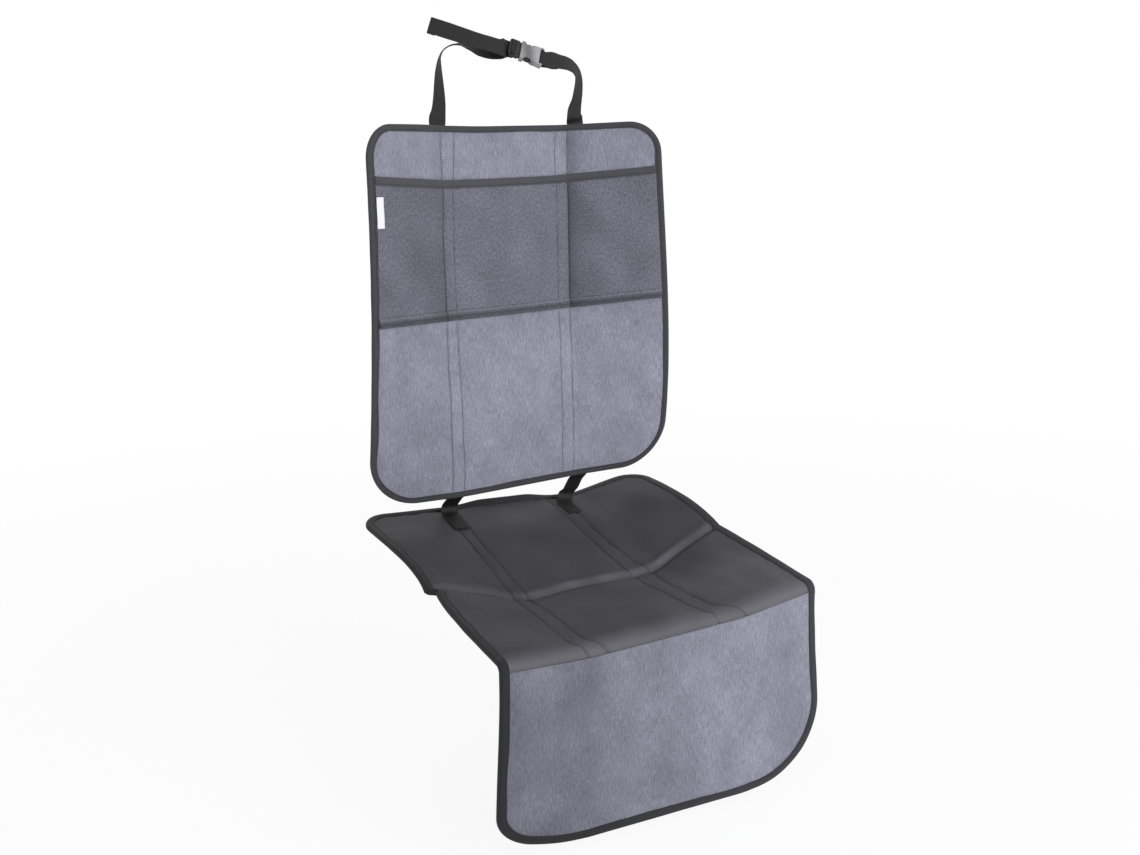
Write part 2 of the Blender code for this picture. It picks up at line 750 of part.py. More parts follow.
def make_headrest_strap_left(finish):
    """The long strap: up from the panel, over in an arch, through the plug, and out as a free tail."""
    start = strap_start(-1.0)
    end = in_buckle(-BUCKLE_LENGTH / 2.0, 0.0)[0]
    stations = strap_base(-1.0) + [
        between(start, end, (0.042, 0.128), 0.0070, (0.97, 0.24, -0.01)),
        between(start, end, (0.070, 0.254), 0.0090, (0.93, 0.36, 0.00)),
        between(start, end, (0.083, 0.392), 0.0100, (0.88, 0.47, 0.01)),
        between(start, end, (0.087, 0.530), 0.0105, (0.82, 0.58, 0.01)),
        between(start, end, (0.090, 0.655), 0.0105, (0.74, 0.67, 0.01)),
        between(start, end, (0.095, 0.763), 0.0100, (0.64, 0.77, 0.02)),
        between(start, end, (0.110, 0.866), 0.0090, (0.51, 0.86, 0.05)),
        between(start, end, (0.157, 0.955), 0.0075, (0.45, 0.89, 0.07)),
        between(start, end, (0.246, 1.010), 0.0055, (0.45, 0.89, 0.08)),
        between(start, end, (0.349, 1.023), 0.0035, (0.45, 0.88, 0.13)),
        between(start, end, (0.471, 0.999), 0.0015, (0.46, 0.80, 0.37)),
        between(start, end, (0.606, 0.962), 0.0005, (0.48, 0.62, 0.62)),
        between(start, end, (0.755, 0.943), -0.0010, (0.45, 0.46, 0.77)),
        between(start, end, (0.890, 0.949), -0.0028, (0.41, 0.35, 0.84)),
    ]
    stations += adjuster_stations()
    stations += [
        (end + Vector((-0.0110, -0.0040, -0.0022)), Vector((0.46, 0.50, 0.73))),
        (end + Vector((-0.0318, -0.0071, 0.0023)), Vector((0.46, 0.49, 0.74))),
        (end + Vector((-0.0509, -0.0046, 0.0071)), Vector((0.44, 0.45, 0.78))),
        (end + Vector((-0.0684, 0.0004, 0.0128)), Vector((0.44, 0.40, 0.80))),
        (end + Vector((-0.0864, 0.0074, 0.0190)), Vector((0.46, 0.34, 0.82))),
        (end + Vector((-0.1072, 0.0174, 0.0267)), Vector((0.52, 0.32, 0.78))),
    ]
    stations = smooth_stations(stations, 3)
    stations += folded_end(stations[-2], stations[-1])
    return finished("headrest_strap_left", swept(webbing_rings(stations), False), finish)


def make_headrest_strap_right(finish):
    """The short strap: folded round the socket's end bar, sewn to itself, and down to the panel."""
    start = strap_start(1.0)
    tip = BUCKLE_LENGTH / 2.0
    end = in_buckle(tip, 0.0)[0]
    bar = tip - SOCKET_END_BAR
    face = SOCKET_BAR_THICKNESS / 2.0
    layer = (WEBBING + GAP) / 2.0
    doubled = [
        in_buckle(tip + 0.0050, 0.0),
        between(start, end, (0.800, 0.979), -0.0243, (0.42, 0.50, 0.76)),
        between(start, end, (0.690, 0.978), -0.0225, (0.31, 0.49, 0.81)),
    ]
    front_layer = []
    rear_layer = []
    for (place, across), travel in zip(doubled, headings(doubled)):
        out = travel.cross(across).normalized() * layer
        front_layer.append((place + out, across))
        rear_layer.append((place - out, across))
    stations = rear_layer[::-1] + [in_buckle(tip, -face - WEBBING / 2.0 - STRAP_SPARE)]
    stations += reversed(round_corner(bar, -face, -1.0))
    stations += round_corner(bar, face, -1.0)
    stations += [in_buckle(tip, face + WEBBING / 2.0 + STRAP_SPARE)] + front_layer
    stations += [
        between(start, end, (0.526, 0.964), -0.0212, (0.45, 0.59, 0.67)),
        between(start, end, (0.341, 0.939), -0.0185, (0.63, 0.61, 0.49)),
        between(start, end, (0.162, 0.890), -0.0145, (0.71, 0.64, 0.29)),
        between(start, end, (0.028, 0.806), -0.0105, (0.75, 0.65, 0.12)),
        between(start, end, (-0.042, 0.693), -0.0070, (0.80, 0.59, 0.06)),
        between(start, end, (-0.064, 0.545), -0.0035, (0.86, 0.51, 0.00)),
        between(start, end, (-0.048, 0.387), -0.0010, (0.90, 0.43, -0.01)),
        between(start, end, (-0.011, 0.245), 0.0010, (0.97, 0.23, 0.00)),
        between(start, end, (0.010, 0.125), 0.0010, (0.99, 0.12, -0.01)),
    ]
    stations += reversed(strap_base(1.0))
    return finished("headrest_strap_right", swept(webbing_rings(smooth_stations(stations, 3)), False), finish)


def make_joining_strap(name, side, finish):
    """A short strap from behind the back panel, out in a bow, and forward onto the seat pad."""
    upper = side * of_side(side, JOINING_STRAP_UPPER)
    lower = side * of_side(side, JOINING_STRAP_LOWER)
    bow = of_side(side, JOINING_STRAP_BOWS)
    behind = strap_backing() - JOINING_STRAP_LIFT
    over = SEAT_THICKNESS / 2.0 + GAP + WEBBING / 2.0
    ups = (JOINING_STRAP_SEWN, JOINING_STRAP_SEWN / 2.0, JOINING_STRAP_HUNG + 0.006, JOINING_STRAP_HUNG)
    stations = [back_sheet().station(upper, up, behind) for up in ups]
    edge, hung = stations[-1]
    touch, level = seat_sheet().station(lower, of_side(side, JOINING_STRAP_TOUCH), over + 0.0007)
    for step, (back, down) in enumerate(bow, 1):
        share = step / (len(bow) + 1)
        place = Vector((edge.x + (touch.x - edge.x) * share, edge.y + back, edge.z - down))
        stations.append((place, hung.lerp(level, share).normalized()))
    stations.append((touch, level))
    flat = (JOINING_STRAP_LAND, (JOINING_STRAP_LAND + JOINING_STRAP_END) / 2.0, JOINING_STRAP_END)
    stations += [seat_sheet().station(lower, along, over) for along in flat]
    return finished(name, swept(webbing_rings(smooth_stations(stations, 3)), False), finish)


def box(low, high):
    """A closed box between two corners, as a bmesh."""
    bm = bmesh.new()
    bmesh.ops.create_cube(bm, size=1.0)
    size = [top - bottom for bottom, top in zip(low, high)]
    centre = [(top + bottom) / 2.0 for bottom, top in zip(low, high)]
    bmesh.ops.scale(bm, vec=size, verts=bm.verts)
    bmesh.ops.translate(bm, vec=centre, verts=bm.verts)
    return bm


def plate(outline, half_thickness):
    """A flat plate from the upper half of its outline, mirrored across the buckle's length."""
    bm = bmesh.new()
    points = outline + [(x, -y) for x, y in reversed(outline)]
    face = bm.faces.new([bm.verts.new((x, y, -half_thickness)) for x, y in points])
    moved = bmesh.ops.extrude_face_region(bm, geom=[face])["geom"]
    top = [item for item in moved if isinstance(item, bmesh.types.BMVert)]
    bmesh.ops.translate(bm, vec=(0.0, 0.0, 2.0 * half_thickness), verts=top)
    return bm


def cut(target, name, bm):
    """Cut a shape out of an object, and keep the cutter as a hidden guide."""
    cutter = finished(name, bm, target.data.materials[0])
    cutter.hide_render = True
    cutter.display_type = "WIRE"
    cutter.matrix_world = target.matrix_world
    boolean = target.modifiers.new(name, "BOOLEAN")
    boolean.operation = "DIFFERENCE"
    boolean.solver = "EXACT"
    boolean.object = cutter


def make_buckle_plug(finish):
    """The plug: a ladder of two bars for the strap, and two sprung arms that snap into the socket."""
    left, outer_slot, bar, inner_slot, body = plug_slots()
    half = BUCKLE_WIDTH / 2.0
    mouth = left + PLUG_REACH
    tip = mouth + ARM_LENGTH
    arm = half - SOCKET_WALL - ARM_SPARE
    inner = arm - ARM_WIDTH
    tongue = inner * 0.4
    outline = [
        (left, half - 0.0025), (left + 0.0015, half - 0.0006), (left + 0.0030, half),
        (mouth - 0.0030, half), (mouth - 0.0010, arm), (mouth + 0.0070, arm), (mouth + 0.0085, half - 0.0004),
        (mouth + 0.0130, half - 0.0004), (tip, arm - 0.0012), (tip, inner + 0.0006),
        (mouth + 0.0090, inner), (mouth + 0.0010, inner), (mouth + 0.0010, tongue), (tip - 0.0030, tongue),
    ]
    plug = finished("buckle_plug", plate(outline, PLUG_THICKNESS / 2.0), finish)
    plug.matrix_world = buckle_frame()
    slot = WEBBING_WIDTH / 2.0 + SLOT_SPARE
    above = PLUG_THICKNESS
    cut(plug, "plug_outer_slot", box((outer_slot, -slot, -above), (bar, slot, above)))
    cut(plug, "plug_inner_slot", box((inner_slot, -slot, -above), (body, slot, above)))
    thin = PLUG_BAR_THICKNESS / 2.0
    for side, name in ((1.0, "plug_bar_front"), (-1.0, "plug_bar_rear")):
        low, high = sorted((side * thin, side * above))
        overlap = PLUG_SLOT / 4.0
        cut(plug, name, box((bar - overlap, -slot, low), (inner_slot + overlap, slot, high)))
    return plug


def make_buckle_socket(finish):
    """The socket: a flat shell, open at its mouth and sides for the arms, with a bar for the strap."""
    half = BUCKLE_WIDTH / 2.0
    mouth = -BUCKLE_LENGTH / 2.0 + PLUG_REACH
    end = BUCKLE_LENGTH / 2.0
    bar = end - SOCKET_END_BAR
    slot_start = bar - SOCKET_SLOT
    waist = half - 0.0045
    outline = [
        (mouth, half - 0.0010), (mouth + 0.0010, half), (mouth + 0.0045, half),
        (mouth + 0.0070, waist + 0.0010), (mouth + 0.0100, waist), (mouth + 0.0135, waist + 0.0010),
        (mouth + 0.0170, half - 0.0008), (slot_start, half - 0.0004), (end - 0.0025, half + 0.0004),
        (end, half - 0.0012),
    ]
    socket = finished("buckle_socket", plate(outline, BUCKLE_THICKNESS / 2.0), finish)
    socket.matrix_world = buckle_frame()
    inside = PLUG_THICKNESS / 2.0 + ARM_SPARE
    room = half - SOCKET_WALL
    deep = mouth + ARM_LENGTH + ARM_SPARE
    cut(socket, "socket_hollow", box((mouth - 0.0010, -room, -inside), (deep, room, inside)))
    window_start = mouth + 0.0065
    window_end = mouth + 0.0140
    cut(socket, "socket_windows", box((window_start, -2.0 * half, -inside), (window_end, 2.0 * half, inside)))
    slot = WEBBING_WIDTH / 2.0 + SLOT_SPARE
    above = BUCKLE_THICKNESS
    cut(socket, "socket_slot", box((slot_start, -slot, -above), (bar, slot, above)))
    thin = SOCKET_BAR_THICKNESS / 2.0
    for side, name in ((1.0, "socket_bar_front"), (-1.0, "socket_bar_rear")):
        low, high = sorted((side * thin, side * above))
        cut(socket, name, box((bar - 0.0005, -slot, low), (end + 0.0010, slot, high)))
    return socket


def main():
    clear_scene()
    heather = material("heather_cloth", (0.26, 0.27, 0.34), 0.90)
    mesh_cloth = material("pocket_mesh", (0.14, 0.15, 0.19), 0.85)
    leatherette = material("seat_leatherette", (0.065, 0.063, 0.072), 0.55)
    tape = material("binding_tape", (0.060, 0.060, 0.070), 0.80)
    webbing = material("black_webbing", (0.025, 0.025, 0.025), 0.75)
    moulded = material("buckle_plastic", (0.050, 0.050, 0.052), 0.35)
    woven = material("label_satin", (0.85, 0.85, 0.88), 0.60)
    make_back_panel(heather)
    make_back_binding(tape)
    make_pocket_panel(mesh_cloth)
    make_pocket_top_binding(tape)
    make_side_label(woven)
    make_headrest_strap_left(webbing)
    make_headrest_strap_right(webbing)
    make_buckle_plug(moulded)
    make_buckle_socket(moulded)
    make_joining_strap("joining_strap_left", -1.0, webbing)
    make_joining_strap("joining_strap_right", 1.0, webbing)
    make_seat_pad(leatherette)
    make_front_flap(heather)
    make_seat_binding(tape)


main()
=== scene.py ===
"""The looks of a padded car seat protector mat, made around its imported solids.

It is laid out as an add-on: the panel's operators make one piece or group of like pieces each.
Metres, +Z up. The mat faces -Y, and +X is the viewer's right.
"""
import math

import bmesh
import bpy
import numpy as np
from mathutils import Matrix, Vector


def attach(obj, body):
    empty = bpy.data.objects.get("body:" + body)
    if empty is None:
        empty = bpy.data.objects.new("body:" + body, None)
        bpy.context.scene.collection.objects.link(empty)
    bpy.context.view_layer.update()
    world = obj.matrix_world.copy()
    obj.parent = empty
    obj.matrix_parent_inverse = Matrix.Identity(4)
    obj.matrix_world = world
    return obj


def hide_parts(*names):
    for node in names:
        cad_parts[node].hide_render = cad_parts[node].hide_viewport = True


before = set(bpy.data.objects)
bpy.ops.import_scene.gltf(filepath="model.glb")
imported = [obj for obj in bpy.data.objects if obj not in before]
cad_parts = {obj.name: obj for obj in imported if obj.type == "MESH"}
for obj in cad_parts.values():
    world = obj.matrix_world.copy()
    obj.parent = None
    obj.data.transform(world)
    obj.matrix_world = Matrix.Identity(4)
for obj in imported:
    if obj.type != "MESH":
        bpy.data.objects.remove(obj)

bl_info = {
    "name": "Seat Protector Mat",
    "version": (1, 0, 0),
    "blender": (4, 5, 0),
    "location": "3D View > Sidebar > Seat Mat",
    "description": "Makes the cloth, tape, webbing and buckle of a car seat protector mat",
    "category": "Object",
}

BODY = "root"

# Panels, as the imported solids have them
WIDTH = 0.470
WING_BEND = 0.020
TAPE = 0.0008
GAP = 0.0003
BACK_HEIGHT = 0.500
BACK_THICKNESS = 0.004
BACK_CORNERS = (0.070, 0.045)
BACK_COVER = 0.009
BACK_WING_START = 0.084
BACK_LEAN = (-1.0, 5.0, 3.0)
BACK_LEFT_WING = (-10.0, 11.0, 19.0)
BACK_RIGHT_WING = (5.0, 27.0, 34.0)
BACK_TURN = 2.8
BACK_FORWARD = 0.0575
BACK_RISE = 0.0385
BACK_LEFT_RISE = 0.0030       # how much taller the panel is on its left
BACK_PULLS = (1.5, 0.8, 1.1, 1.5)         # how hard each sewn line pulls the padding in
SEAT_PULLS = (1.1, 1.1, 1.1, 1.1)
POCKET_MOUTH = 0.430
POCKET_BOTTOM = 0.245
POCKET_CLOTH = 0.0008
POCKET_HEM = 0.0135
HEM_ROLL = 0.0036
MOUTH_TAPE_COVER = 0.0108
MOUTH_DIP = 0.00033
LABEL_WIDTH = 0.011
LABEL_LENGTH = 0.039
LABEL_THICKNESS = 0.0005
LABEL_TOP = 0.410
SEAT_REAR = 0.225
SEAT_FRONT = 0.182
SEAT_THICKNESS = 0.005
SEAT_CORNERS = (0.042, 0.100)
SEAT_COVER = 0.0115
SEAT_WING_START = 0.104
SEAT_REAR_SLOPE = 8.2
SEAT_FOLD_SLOPE = 25.3
SEAT_REAR_TWIST = -3.5
SEAT_LEFT_LIFT = (0.5, 18.2, 4.0)
SEAT_RIGHT_LIFT = (12.3, 20.9, 6.0)
FRONT_BEND = 0.010
FLAP_LENGTH = 0.240
FLAP_HANG = -1.0
FLAP_SWING = 4.6
SEAT_EASE = 0.120             # from the rear edge to where the seat starts to follow its bowed fold
REAR_CURL = (0.024, 0.0095, 0.006)        # length, rise and forward reach of the curl in the rear edge
SQUARER_CORNER = 0.045        # radius of the flap's left corner, as it hangs
CORNER_DROP = 0.45            # how much of that squarer shape goes downwards
EDGE_JOG = (0.010, 0.030, 0.004, 0.020)   # how far the left edge steps at the fold, and over what length
CREASES = (                   # each crease's place, swing, lean, width and height
    (0.112, 0.022, 0.034, 0.0105, 0.0011),
    (0.150, 0.026, 0.040, 0.0120, 0.0009),
    (-0.060, 0.016, 0.000, 0.0150, 0.0007),
    (0.010, 0.020, 0.000, 0.0180, 0.0006),
    (-0.170, 0.010, 0.020, 0.0130, 0.0006),
)
FRONT_EDGE = SEAT_REAR + SEAT_FRONT
BEND_LENGTH = FRONT_BEND * math.radians(90.0 - FLAP_HANG)
SEAM = FRONT_EDGE + BEND_LENGTH
SEAT_LENGTH = SEAM + FLAP_LENGTH

# Webbing and buckle
WEBBING_WIDTH = 0.025
WEBBING = 0.0015
STRAP_STEP = 0.002
BOX_STITCH = 0.009            # half the width of the stitching that holds a strap's end
HEADREST_STRAP_PLACES = (0.0970, 0.1155)
HEADREST_STRAP_SEWN = 0.035
HEADREST_STRAP_RISE = 0.003
HEADREST_STRAP_TURN = 0.75
HEADREST_STRAP_ACROSS = ((0.994, 0.109, -0.014), (0.993, 0.120, -0.012))
JOINING_STRAP_UPPER = (0.102, 0.099)
JOINING_STRAP_LOWER = (0.107, 0.077)
JOINING_STRAP_SEWN = 0.038
JOINING_STRAP_HUNG = 0.002
JOINING_STRAP_TOUCH = (0.036, 0.040)
JOINING_STRAP_LAND = 0.046
JOINING_STRAP_END = 0.0715
JOINING_STRAP_LIFT = 0.0016
JOINING_STRAP_REST = 0.0009   # how far the seat's padding holds it up
JOINING_STRAP_BOWS = (
    ((0.0069, 0.0037), (0.0219, 0.0144), (0.0308, 0.0261), (0.0280, 0.0325)),
    ((0.0070, 0.0120), (0.0132, 0.0261), (0.0187, 0.0358), (0.0159, 0.0426)),
)
STRAP_SPARE = 0.0004
TAIL_HEM = 0.0095
# A stitch's bends: shares of its length, and rise in threads
STITCH_BEND = ((0.0, -0.9), (0.16, 0.35), (0.84, 0.35), (1.0, -0.9))
BUCKLE_LENGTH = 0.048
BUCKLE_WIDTH = 0.030
BUCKLE_THICKNESS = 0.0088
BUCKLE_PLACE = (0.0205, -0.0170, 0.0940)
BUCKLE_ALONG = (0.884, -0.316, -0.343)
BUCKLE_ACROSS = (0.463, 0.505, 0.729)
PLUG_THICKNESS = 0.0036
PLUG_BAR = 0.0028
PLUG_BAR_THICKNESS = 0.0020
PLUG_END_BAR = 0.0022
PLUG_SLOT = 0.0021
PLUG_REACH = 0.016
ARM_LENGTH = 0.016
ARM_WIDTH = 0.0032
SOCKET_WALL = 0.0019
SOCKET_SLOT = 0.0021
SOCKET_END_BAR = 0.0030
SOCKET_BAR_THICKNESS = 0.0025
SLOT_SPARE = 0.0006
ARM_SPARE = 0.0004
PLUG_SOFTENING = 0.0004
SOCKET_SOFTENING = 0.0006

# Places along the headrest strap: shares of the way to the buckle in X and Z, how far
# behind the panel's edge, and the direction across the strap
LEFT_ROUTE = (
    (0.042, 0.128, 0.0070, 0.97, 0.24, -0.01), (0.070, 0.254, 0.0090, 0.93, 0.36, 0.00),
    (0.083, 0.392, 0.0100, 0.88, 0.47, 0.01), (0.087, 0.530, 0.0105, 0.82, 0.58, 0.01),
    (0.090, 0.655, 0.0105, 0.74, 0.67, 0.01), (0.095, 0.763, 0.0100, 0.64, 0.77, 0.02),
    (0.110, 0.866, 0.0090, 0.51, 0.86, 0.05), (0.157, 0.955, 0.0075, 0.45, 0.89, 0.07),
    (0.246, 1.010, 0.0055, 0.45, 0.89, 0.08), (0.349, 1.023, 0.0035, 0.45, 0.88, 0.13),
    (0.471, 0.999, 0.0015, 0.46, 0.80, 0.37), (0.606, 0.962, 0.0005, 0.48, 0.62, 0.62),
    (0.755, 0.943, -0.0010, 0.45, 0.46, 0.77), (0.890, 0.949, -0.0028, 0.41, 0.35, 0.84),
)
DOUBLED_ROUTE = ((0.800, 0.979, -0.0243, 0.42, 0.50, 0.76), (0.690, 0.978, -0.0225, 0.31, 0.49, 0.81))
RIGHT_ROUTE = (
    (0.526, 0.964, -0.0212, 0.45, 0.59, 0.67), (0.341, 0.939, -0.0185, 0.63, 0.61, 0.49),
    (0.162, 0.890, -0.0145, 0.71, 0.64, 0.29), (0.028, 0.806, -0.0105, 0.75, 0.65, 0.12),
    (-0.042, 0.693, -0.0070, 0.80, 0.59, 0.06), (-0.064, 0.545, -0.0035, 0.86, 0.51, 0.00),
    (-0.048, 0.387, -0.0010, 0.90, 0.43, -0.01), (-0.011, 0.245, 0.0010, 0.97, 0.23, 0.00),
    (0.010, 0.125, 0.0010, 0.99, 0.12, -0.01),
)
# Places along the strap's free tail, from the buckle, and the way across it
TAIL_ROUTE = (
    (-0.0110, -0.0040, -0.0022, 0.46, 0.50, 0.73), (-0.0318, -0.0071, 0.0023, 0.46, 0.49, 0.74),
    (-0.0509, -0.0046, 0.0071, 0.44, 0.45, 0.78), (-0.0684, 0.0004, 0.0128, 0.44, 0.40, 0.80),
    (-0.0864, 0.0074, 0.0190, 0.46, 0.34, 0.82), (-0.1072, 0.0174, 0.0267, 0.52, 0.32, 0.78),
)

# Camera, floor and light
CAMERA_PLACE = (-0.8728, -1.3183, 0.5965)
CAMERA_YAW = 0.545
CAMERA_PITCH = 0.2233
CAMERA_ROLL = -0.0208
CAMERA_LENS = 41.05
FLOOR_LEVEL = -0.262
FLOOR_SIZE = 14.0
FLOOR_GLOW = (1.0, 2.6, 0.90, 1.0)        # from where to where the floor turns white, and how white
LAMP_PLACE = (0.7, -3.0, 1.3)
LAMP_TARGET = (0.0, 0.0, 0.2)
LAMP_SIZE = 2.2

# Lines sewn or folded into the panels: distance along, then the place across at that distance
BACK_LINES = (
    (
        (0.000, -0.1160), (0.250, -0.1130), (0.353, -0.1100), (0.411, -0.1040), (0.457, -0.1016),
        (0.500, -0.0974),
    ),
    (
        (0.000, -0.0990), (0.250, -0.0954), (0.332, -0.0921), (0.433, -0.0850), (0.463, -0.0800),
        (0.500, -0.0750),
    ),
    (
        (0.000, 0.0640), (0.258, 0.0711), (0.314, 0.0743), (0.397, 0.0798), (0.452, 0.0816),
        (0.500, 0.0850),
    ),
    (
        (0.000, 0.0830), (0.256, 0.0902), (0.312, 0.0934), (0.396, 0.0987), (0.451, 0.1004),
        (0.500, 0.1035),
    ),
)
SEAT_LINES = (
    (
        (0.000, -0.1110), (0.065, -0.1122), (0.136, -0.1139), (0.221, -0.1063), (0.230, -0.1104),
        (0.312, -0.1210), (0.385, -0.1290), (0.424, -0.1157),
    ),
    (
        (0.000, -0.0935), (0.069, -0.0948), (0.121, -0.0982), (0.218, -0.0896), (0.253, -0.0938),
        (0.326, -0.0998), (0.393, -0.1054), (0.424, -0.0876),
    ),
    (
        (0.000, 0.0600), (0.089, 0.0600), (0.190, 0.0618), (0.222, 0.0659), (0.244, 0.0685),
        (0.318, 0.0654), (0.375, 0.0637), (0.424, 0.0773),
    ),
    (
        (0.000, 0.0780), (0.102, 0.0787), (0.182, 0.0833), (0.218, 0.0892), (0.230, 0.0990),
        (0.320, 0.0883), (0.384, 0.0890), (0.424, 0.1230),
    ),
)
FOLD_LINE = (
    (-0.235, 0.2215), (-0.187, 0.2155), (-0.142, 0.2157), (-0.112, 0.2215), (-0.090, 0.2355),
    (-0.048, 0.2396), (0.000, 0.2425), (0.045, 0.2422), (0.097, 0.2385), (0.158, 0.2292),
    (0.235, 0.2255),
)
# How far the pocket's mouth and hem stray from level, at places across
MOUTH_LINE = (
    (-0.235, 0.0062), (-0.200, 0.0040), (-0.146, 0.0011), (-0.106, -0.0007), (-0.043, -0.0001),
    (0.054, 0.0003), (0.098, 0.0016), (0.133, 0.0027), (0.177, 0.0038), (0.235, 0.0064),
)
HEM_LINE = (
    (-0.235, 0.0005), (-0.110, -0.0005), (0.020, -0.0005), (0.128, 0.0008), (0.180, 0.0032),
    (0.235, 0.0050),
)

# Padding: the reach of its swell; the seed, size and share of its wrinkles; and the seed,
# size, reach and share of the puckers at its tape
BACK_PADDING = (0.010, (11, 0.085, 0.9), (12, 0.016, 0.010, 0.35))
SEAT_PADDING = (0.012, (41, 0.10, 1.3), (42, 0.018, 0.012, 0.5))
FLAP_PADDING = (0.012, (71, 0.11, 1.3), (72, 0.022, 0.016, 0.6))
# Sewn lines: the reach of their pull; and the seed, size, reach and share of their puckers
BACK_SEWING = (0.006, (30, 0.013, 0.006, 0.25))
SEAT_SEWING = (0.007, (60, 0.019, 0.008, 0.4))
CALM_EDGE = 0.03              # how far in from an edge the wrinkles reach their full height
BACK_DEEPEST = 0.0016
SEAT_DEEPEST = 0.0034
CHANNEL_DIP = (0.006, 0.006, 0.0013)      # outside the right channel: how far, width and depth
# Beside the fold: how far ahead of it, width and height. The user sets the lip's height.
FOLD_LIP = (-0.010, 0.0075)
FOLD_SWELL = (0.012, 0.010, 0.0008)
FOLD_VALLEY = (0.0026, 0.0040)            # width and depth
SEAM_GROOVE = (0.004, 0.0010, 0.0008)     # below the front seam: how far, width and depth

# How much painted shade darkens each cloth in the grooves of its sewn lines
BACK_PAINTED_GROOVE_SHADE = (0.32, 0.22, 0.18, 0.34)
POCKET_PAINTED_GROOVE_SHADE = (0.55, 0.16, 0.18, 0.60)
SEAT_PAINTED_GROOVE_SHADE = (0.35, 0.25, 0.30, 0.30)

SEAM_STRAY = 0.0005           # how far a hand-guided seam strays
BACK_SEAM_SEED = 20
SEAT_SEAM_SEED = 50

# Fineness of the meshes
STEP = 0.0005                 # over which a panel's slope is measured
GRID_STEP = 0.0026
FOLD_STEP = 0.0011
EDGE_STEP = 0.003
LINE_HUG = 0.0009             # how near a sewn line its neighbouring columns run
FOLD_SPAN = (0.210, 0.250)


# Surfaces. A place on a panel is how far across it is from the middle line, and how far along.

def eased(share):
    """A share from 0 to 1 that starts and stops softly."""
    share = np.clip(share, 0.0, 1.0)
    return share * share * (3.0 - 2.0 * share)


def spaced(start, end, count):
    """Evenly spaced values from start to end, both included."""
    return [start + (end - start) * step / count for step in range(count + 1)]


def stepped(start, end, step):
    """Evenly spaced values about a step apart."""
    return spaced(start, end, max(int((end - start) / step), 2))


def through(values, share):
    """A value that passes through the first, middle and last of three."""
    first, middle, last = values
    start = first * (1.0 - share) * (1.0 - 2.0 * share)
    return start + 4.0 * middle * share * (1.0 - share) + last * share * (2.0 * share - 1.0)


def along_table(table, place):
    """A value that passes smoothly through the pairs of a table."""
    places, values = np.array(table).T
    place = np.asarray(place, float)
    soft = 0.0
    for shift in (-0.008, 0.0, 0.008):
        soft = soft + np.interp(place + shift, places, values) / 3.0
    return soft


def ridge(distance, width):
    """1 on a line, and softly down to 0 beside it."""
    return np.exp(-(distance / width) ** 2)


def turned_wing(distance, bend_start, degrees):
    """How far out, and how far off the panel's middle plane, the points of a wing lie."""
    angle = np.radians(degrees)
    angle = np.where(np.abs(angle) < 1e-5, 1e-5, angle)
    radius = WING_BEND / angle
    turned = angle * np.clip((distance - bend_start) / WING_BEND, 0.0, 1.0)
    beyond = np.maximum(distance - bend_start - WING_BEND, 0.0)
    out = np.minimum(distance, bend_start) + radius * np.sin(turned) + beyond * np.cos(angle)
    return out, radius * (1.0 - np.cos(turned)) + beyond * np.sin(angle)


def seat_rise(across, along):
    """Height of the seat's rear half over its front half, down to a fold that bows forward."""
    slopes = [math.radians(SEAT_REAR_SLOPE), math.radians(SEAT_FOLD_SLOPE)]
    growth = (slopes[1] - slopes[0]) / SEAT_REAR
    upper = np.minimum(along, SEAT_EASE)
    rise = (SEAT_REAR - upper) * (slopes[0] + growth * upper + slopes[1]) / 2.0
    falling = (slopes[0] + growth * SEAT_EASE + slopes[1] - (SEAT_REAR - SEAT_EASE) * growth) / 2.0
    stretch = along_table(FOLD_LINE, across) - SEAT_EASE
    into = np.clip(along - SEAT_EASE, 0.0, stretch)
    left_over = rise - falling * stretch
    return np.where(along < SEAT_EASE, rise, rise - falling * into - left_over * (into / stretch) ** 2)


def seat_profile(along):
    """The y of the seat's middle line, and the z of its front half, bend and flap."""
    lean = math.radians((SEAT_REAR_SLOPE + SEAT_FOLD_SLOPE) / 2.0)
    hang = math.radians(FLAP_HANG)
    y = SEAT_FRONT / 2.0 + np.clip(SEAT_REAR - along, 0.0, None) * math.cos(lean)
    y = y - np.clip(along - SEAT_REAR, 0.0, SEAT_FRONT)
    bent = np.clip(along - SEAT_REAR - SEAT_FRONT, 0.0, BEND_LENGTH) / FRONT_BEND
    y = y - FRONT_BEND * np.sin(bent)
    z = SEAT_THICKNESS / 2.0 - FRONT_BEND * (1.0 - np.cos(bent))
    below = np.maximum(along - SEAM, 0.0)
    return y - below * math.sin(hang), z - below * math.cos(hang)


def squared_corner(across, along):
    """Draw the flap's round left corner out towards a squarer one, as the photo's flap hangs."""
    radius = SEAT_CORNERS[1]
    out = np.maximum(-across - (WIDTH / 2.0 - radius), 0.0)
    down = np.maximum(along - (SEAT_LENGTH - radius), 0.0)
    reach = np.maximum(np.hypot(out, down), 1e-9)
    east, south = out / reach, down / reach
    centre = radius - SQUARER_CORNER
    lean = (east + south) * centre
    arc = lean + np.sqrt(np.maximum(lean ** 2 - 2.0 * centre ** 2 + SQUARER_CORNER ** 2, 0.0))
    side = radius / np.maximum(np.maximum(east, south), 1e-9)
    flatter = np.minimum(east, south) / np.maximum(np.maximum(east, south), 1e-9) * radius < centre
    share = np.where((out > 0.0) & (down > 0.0), np.where(flatter, side, arc) / radius - 1.0, 0.0)
    return across - out * share, along + CORNER_DROP * down * share


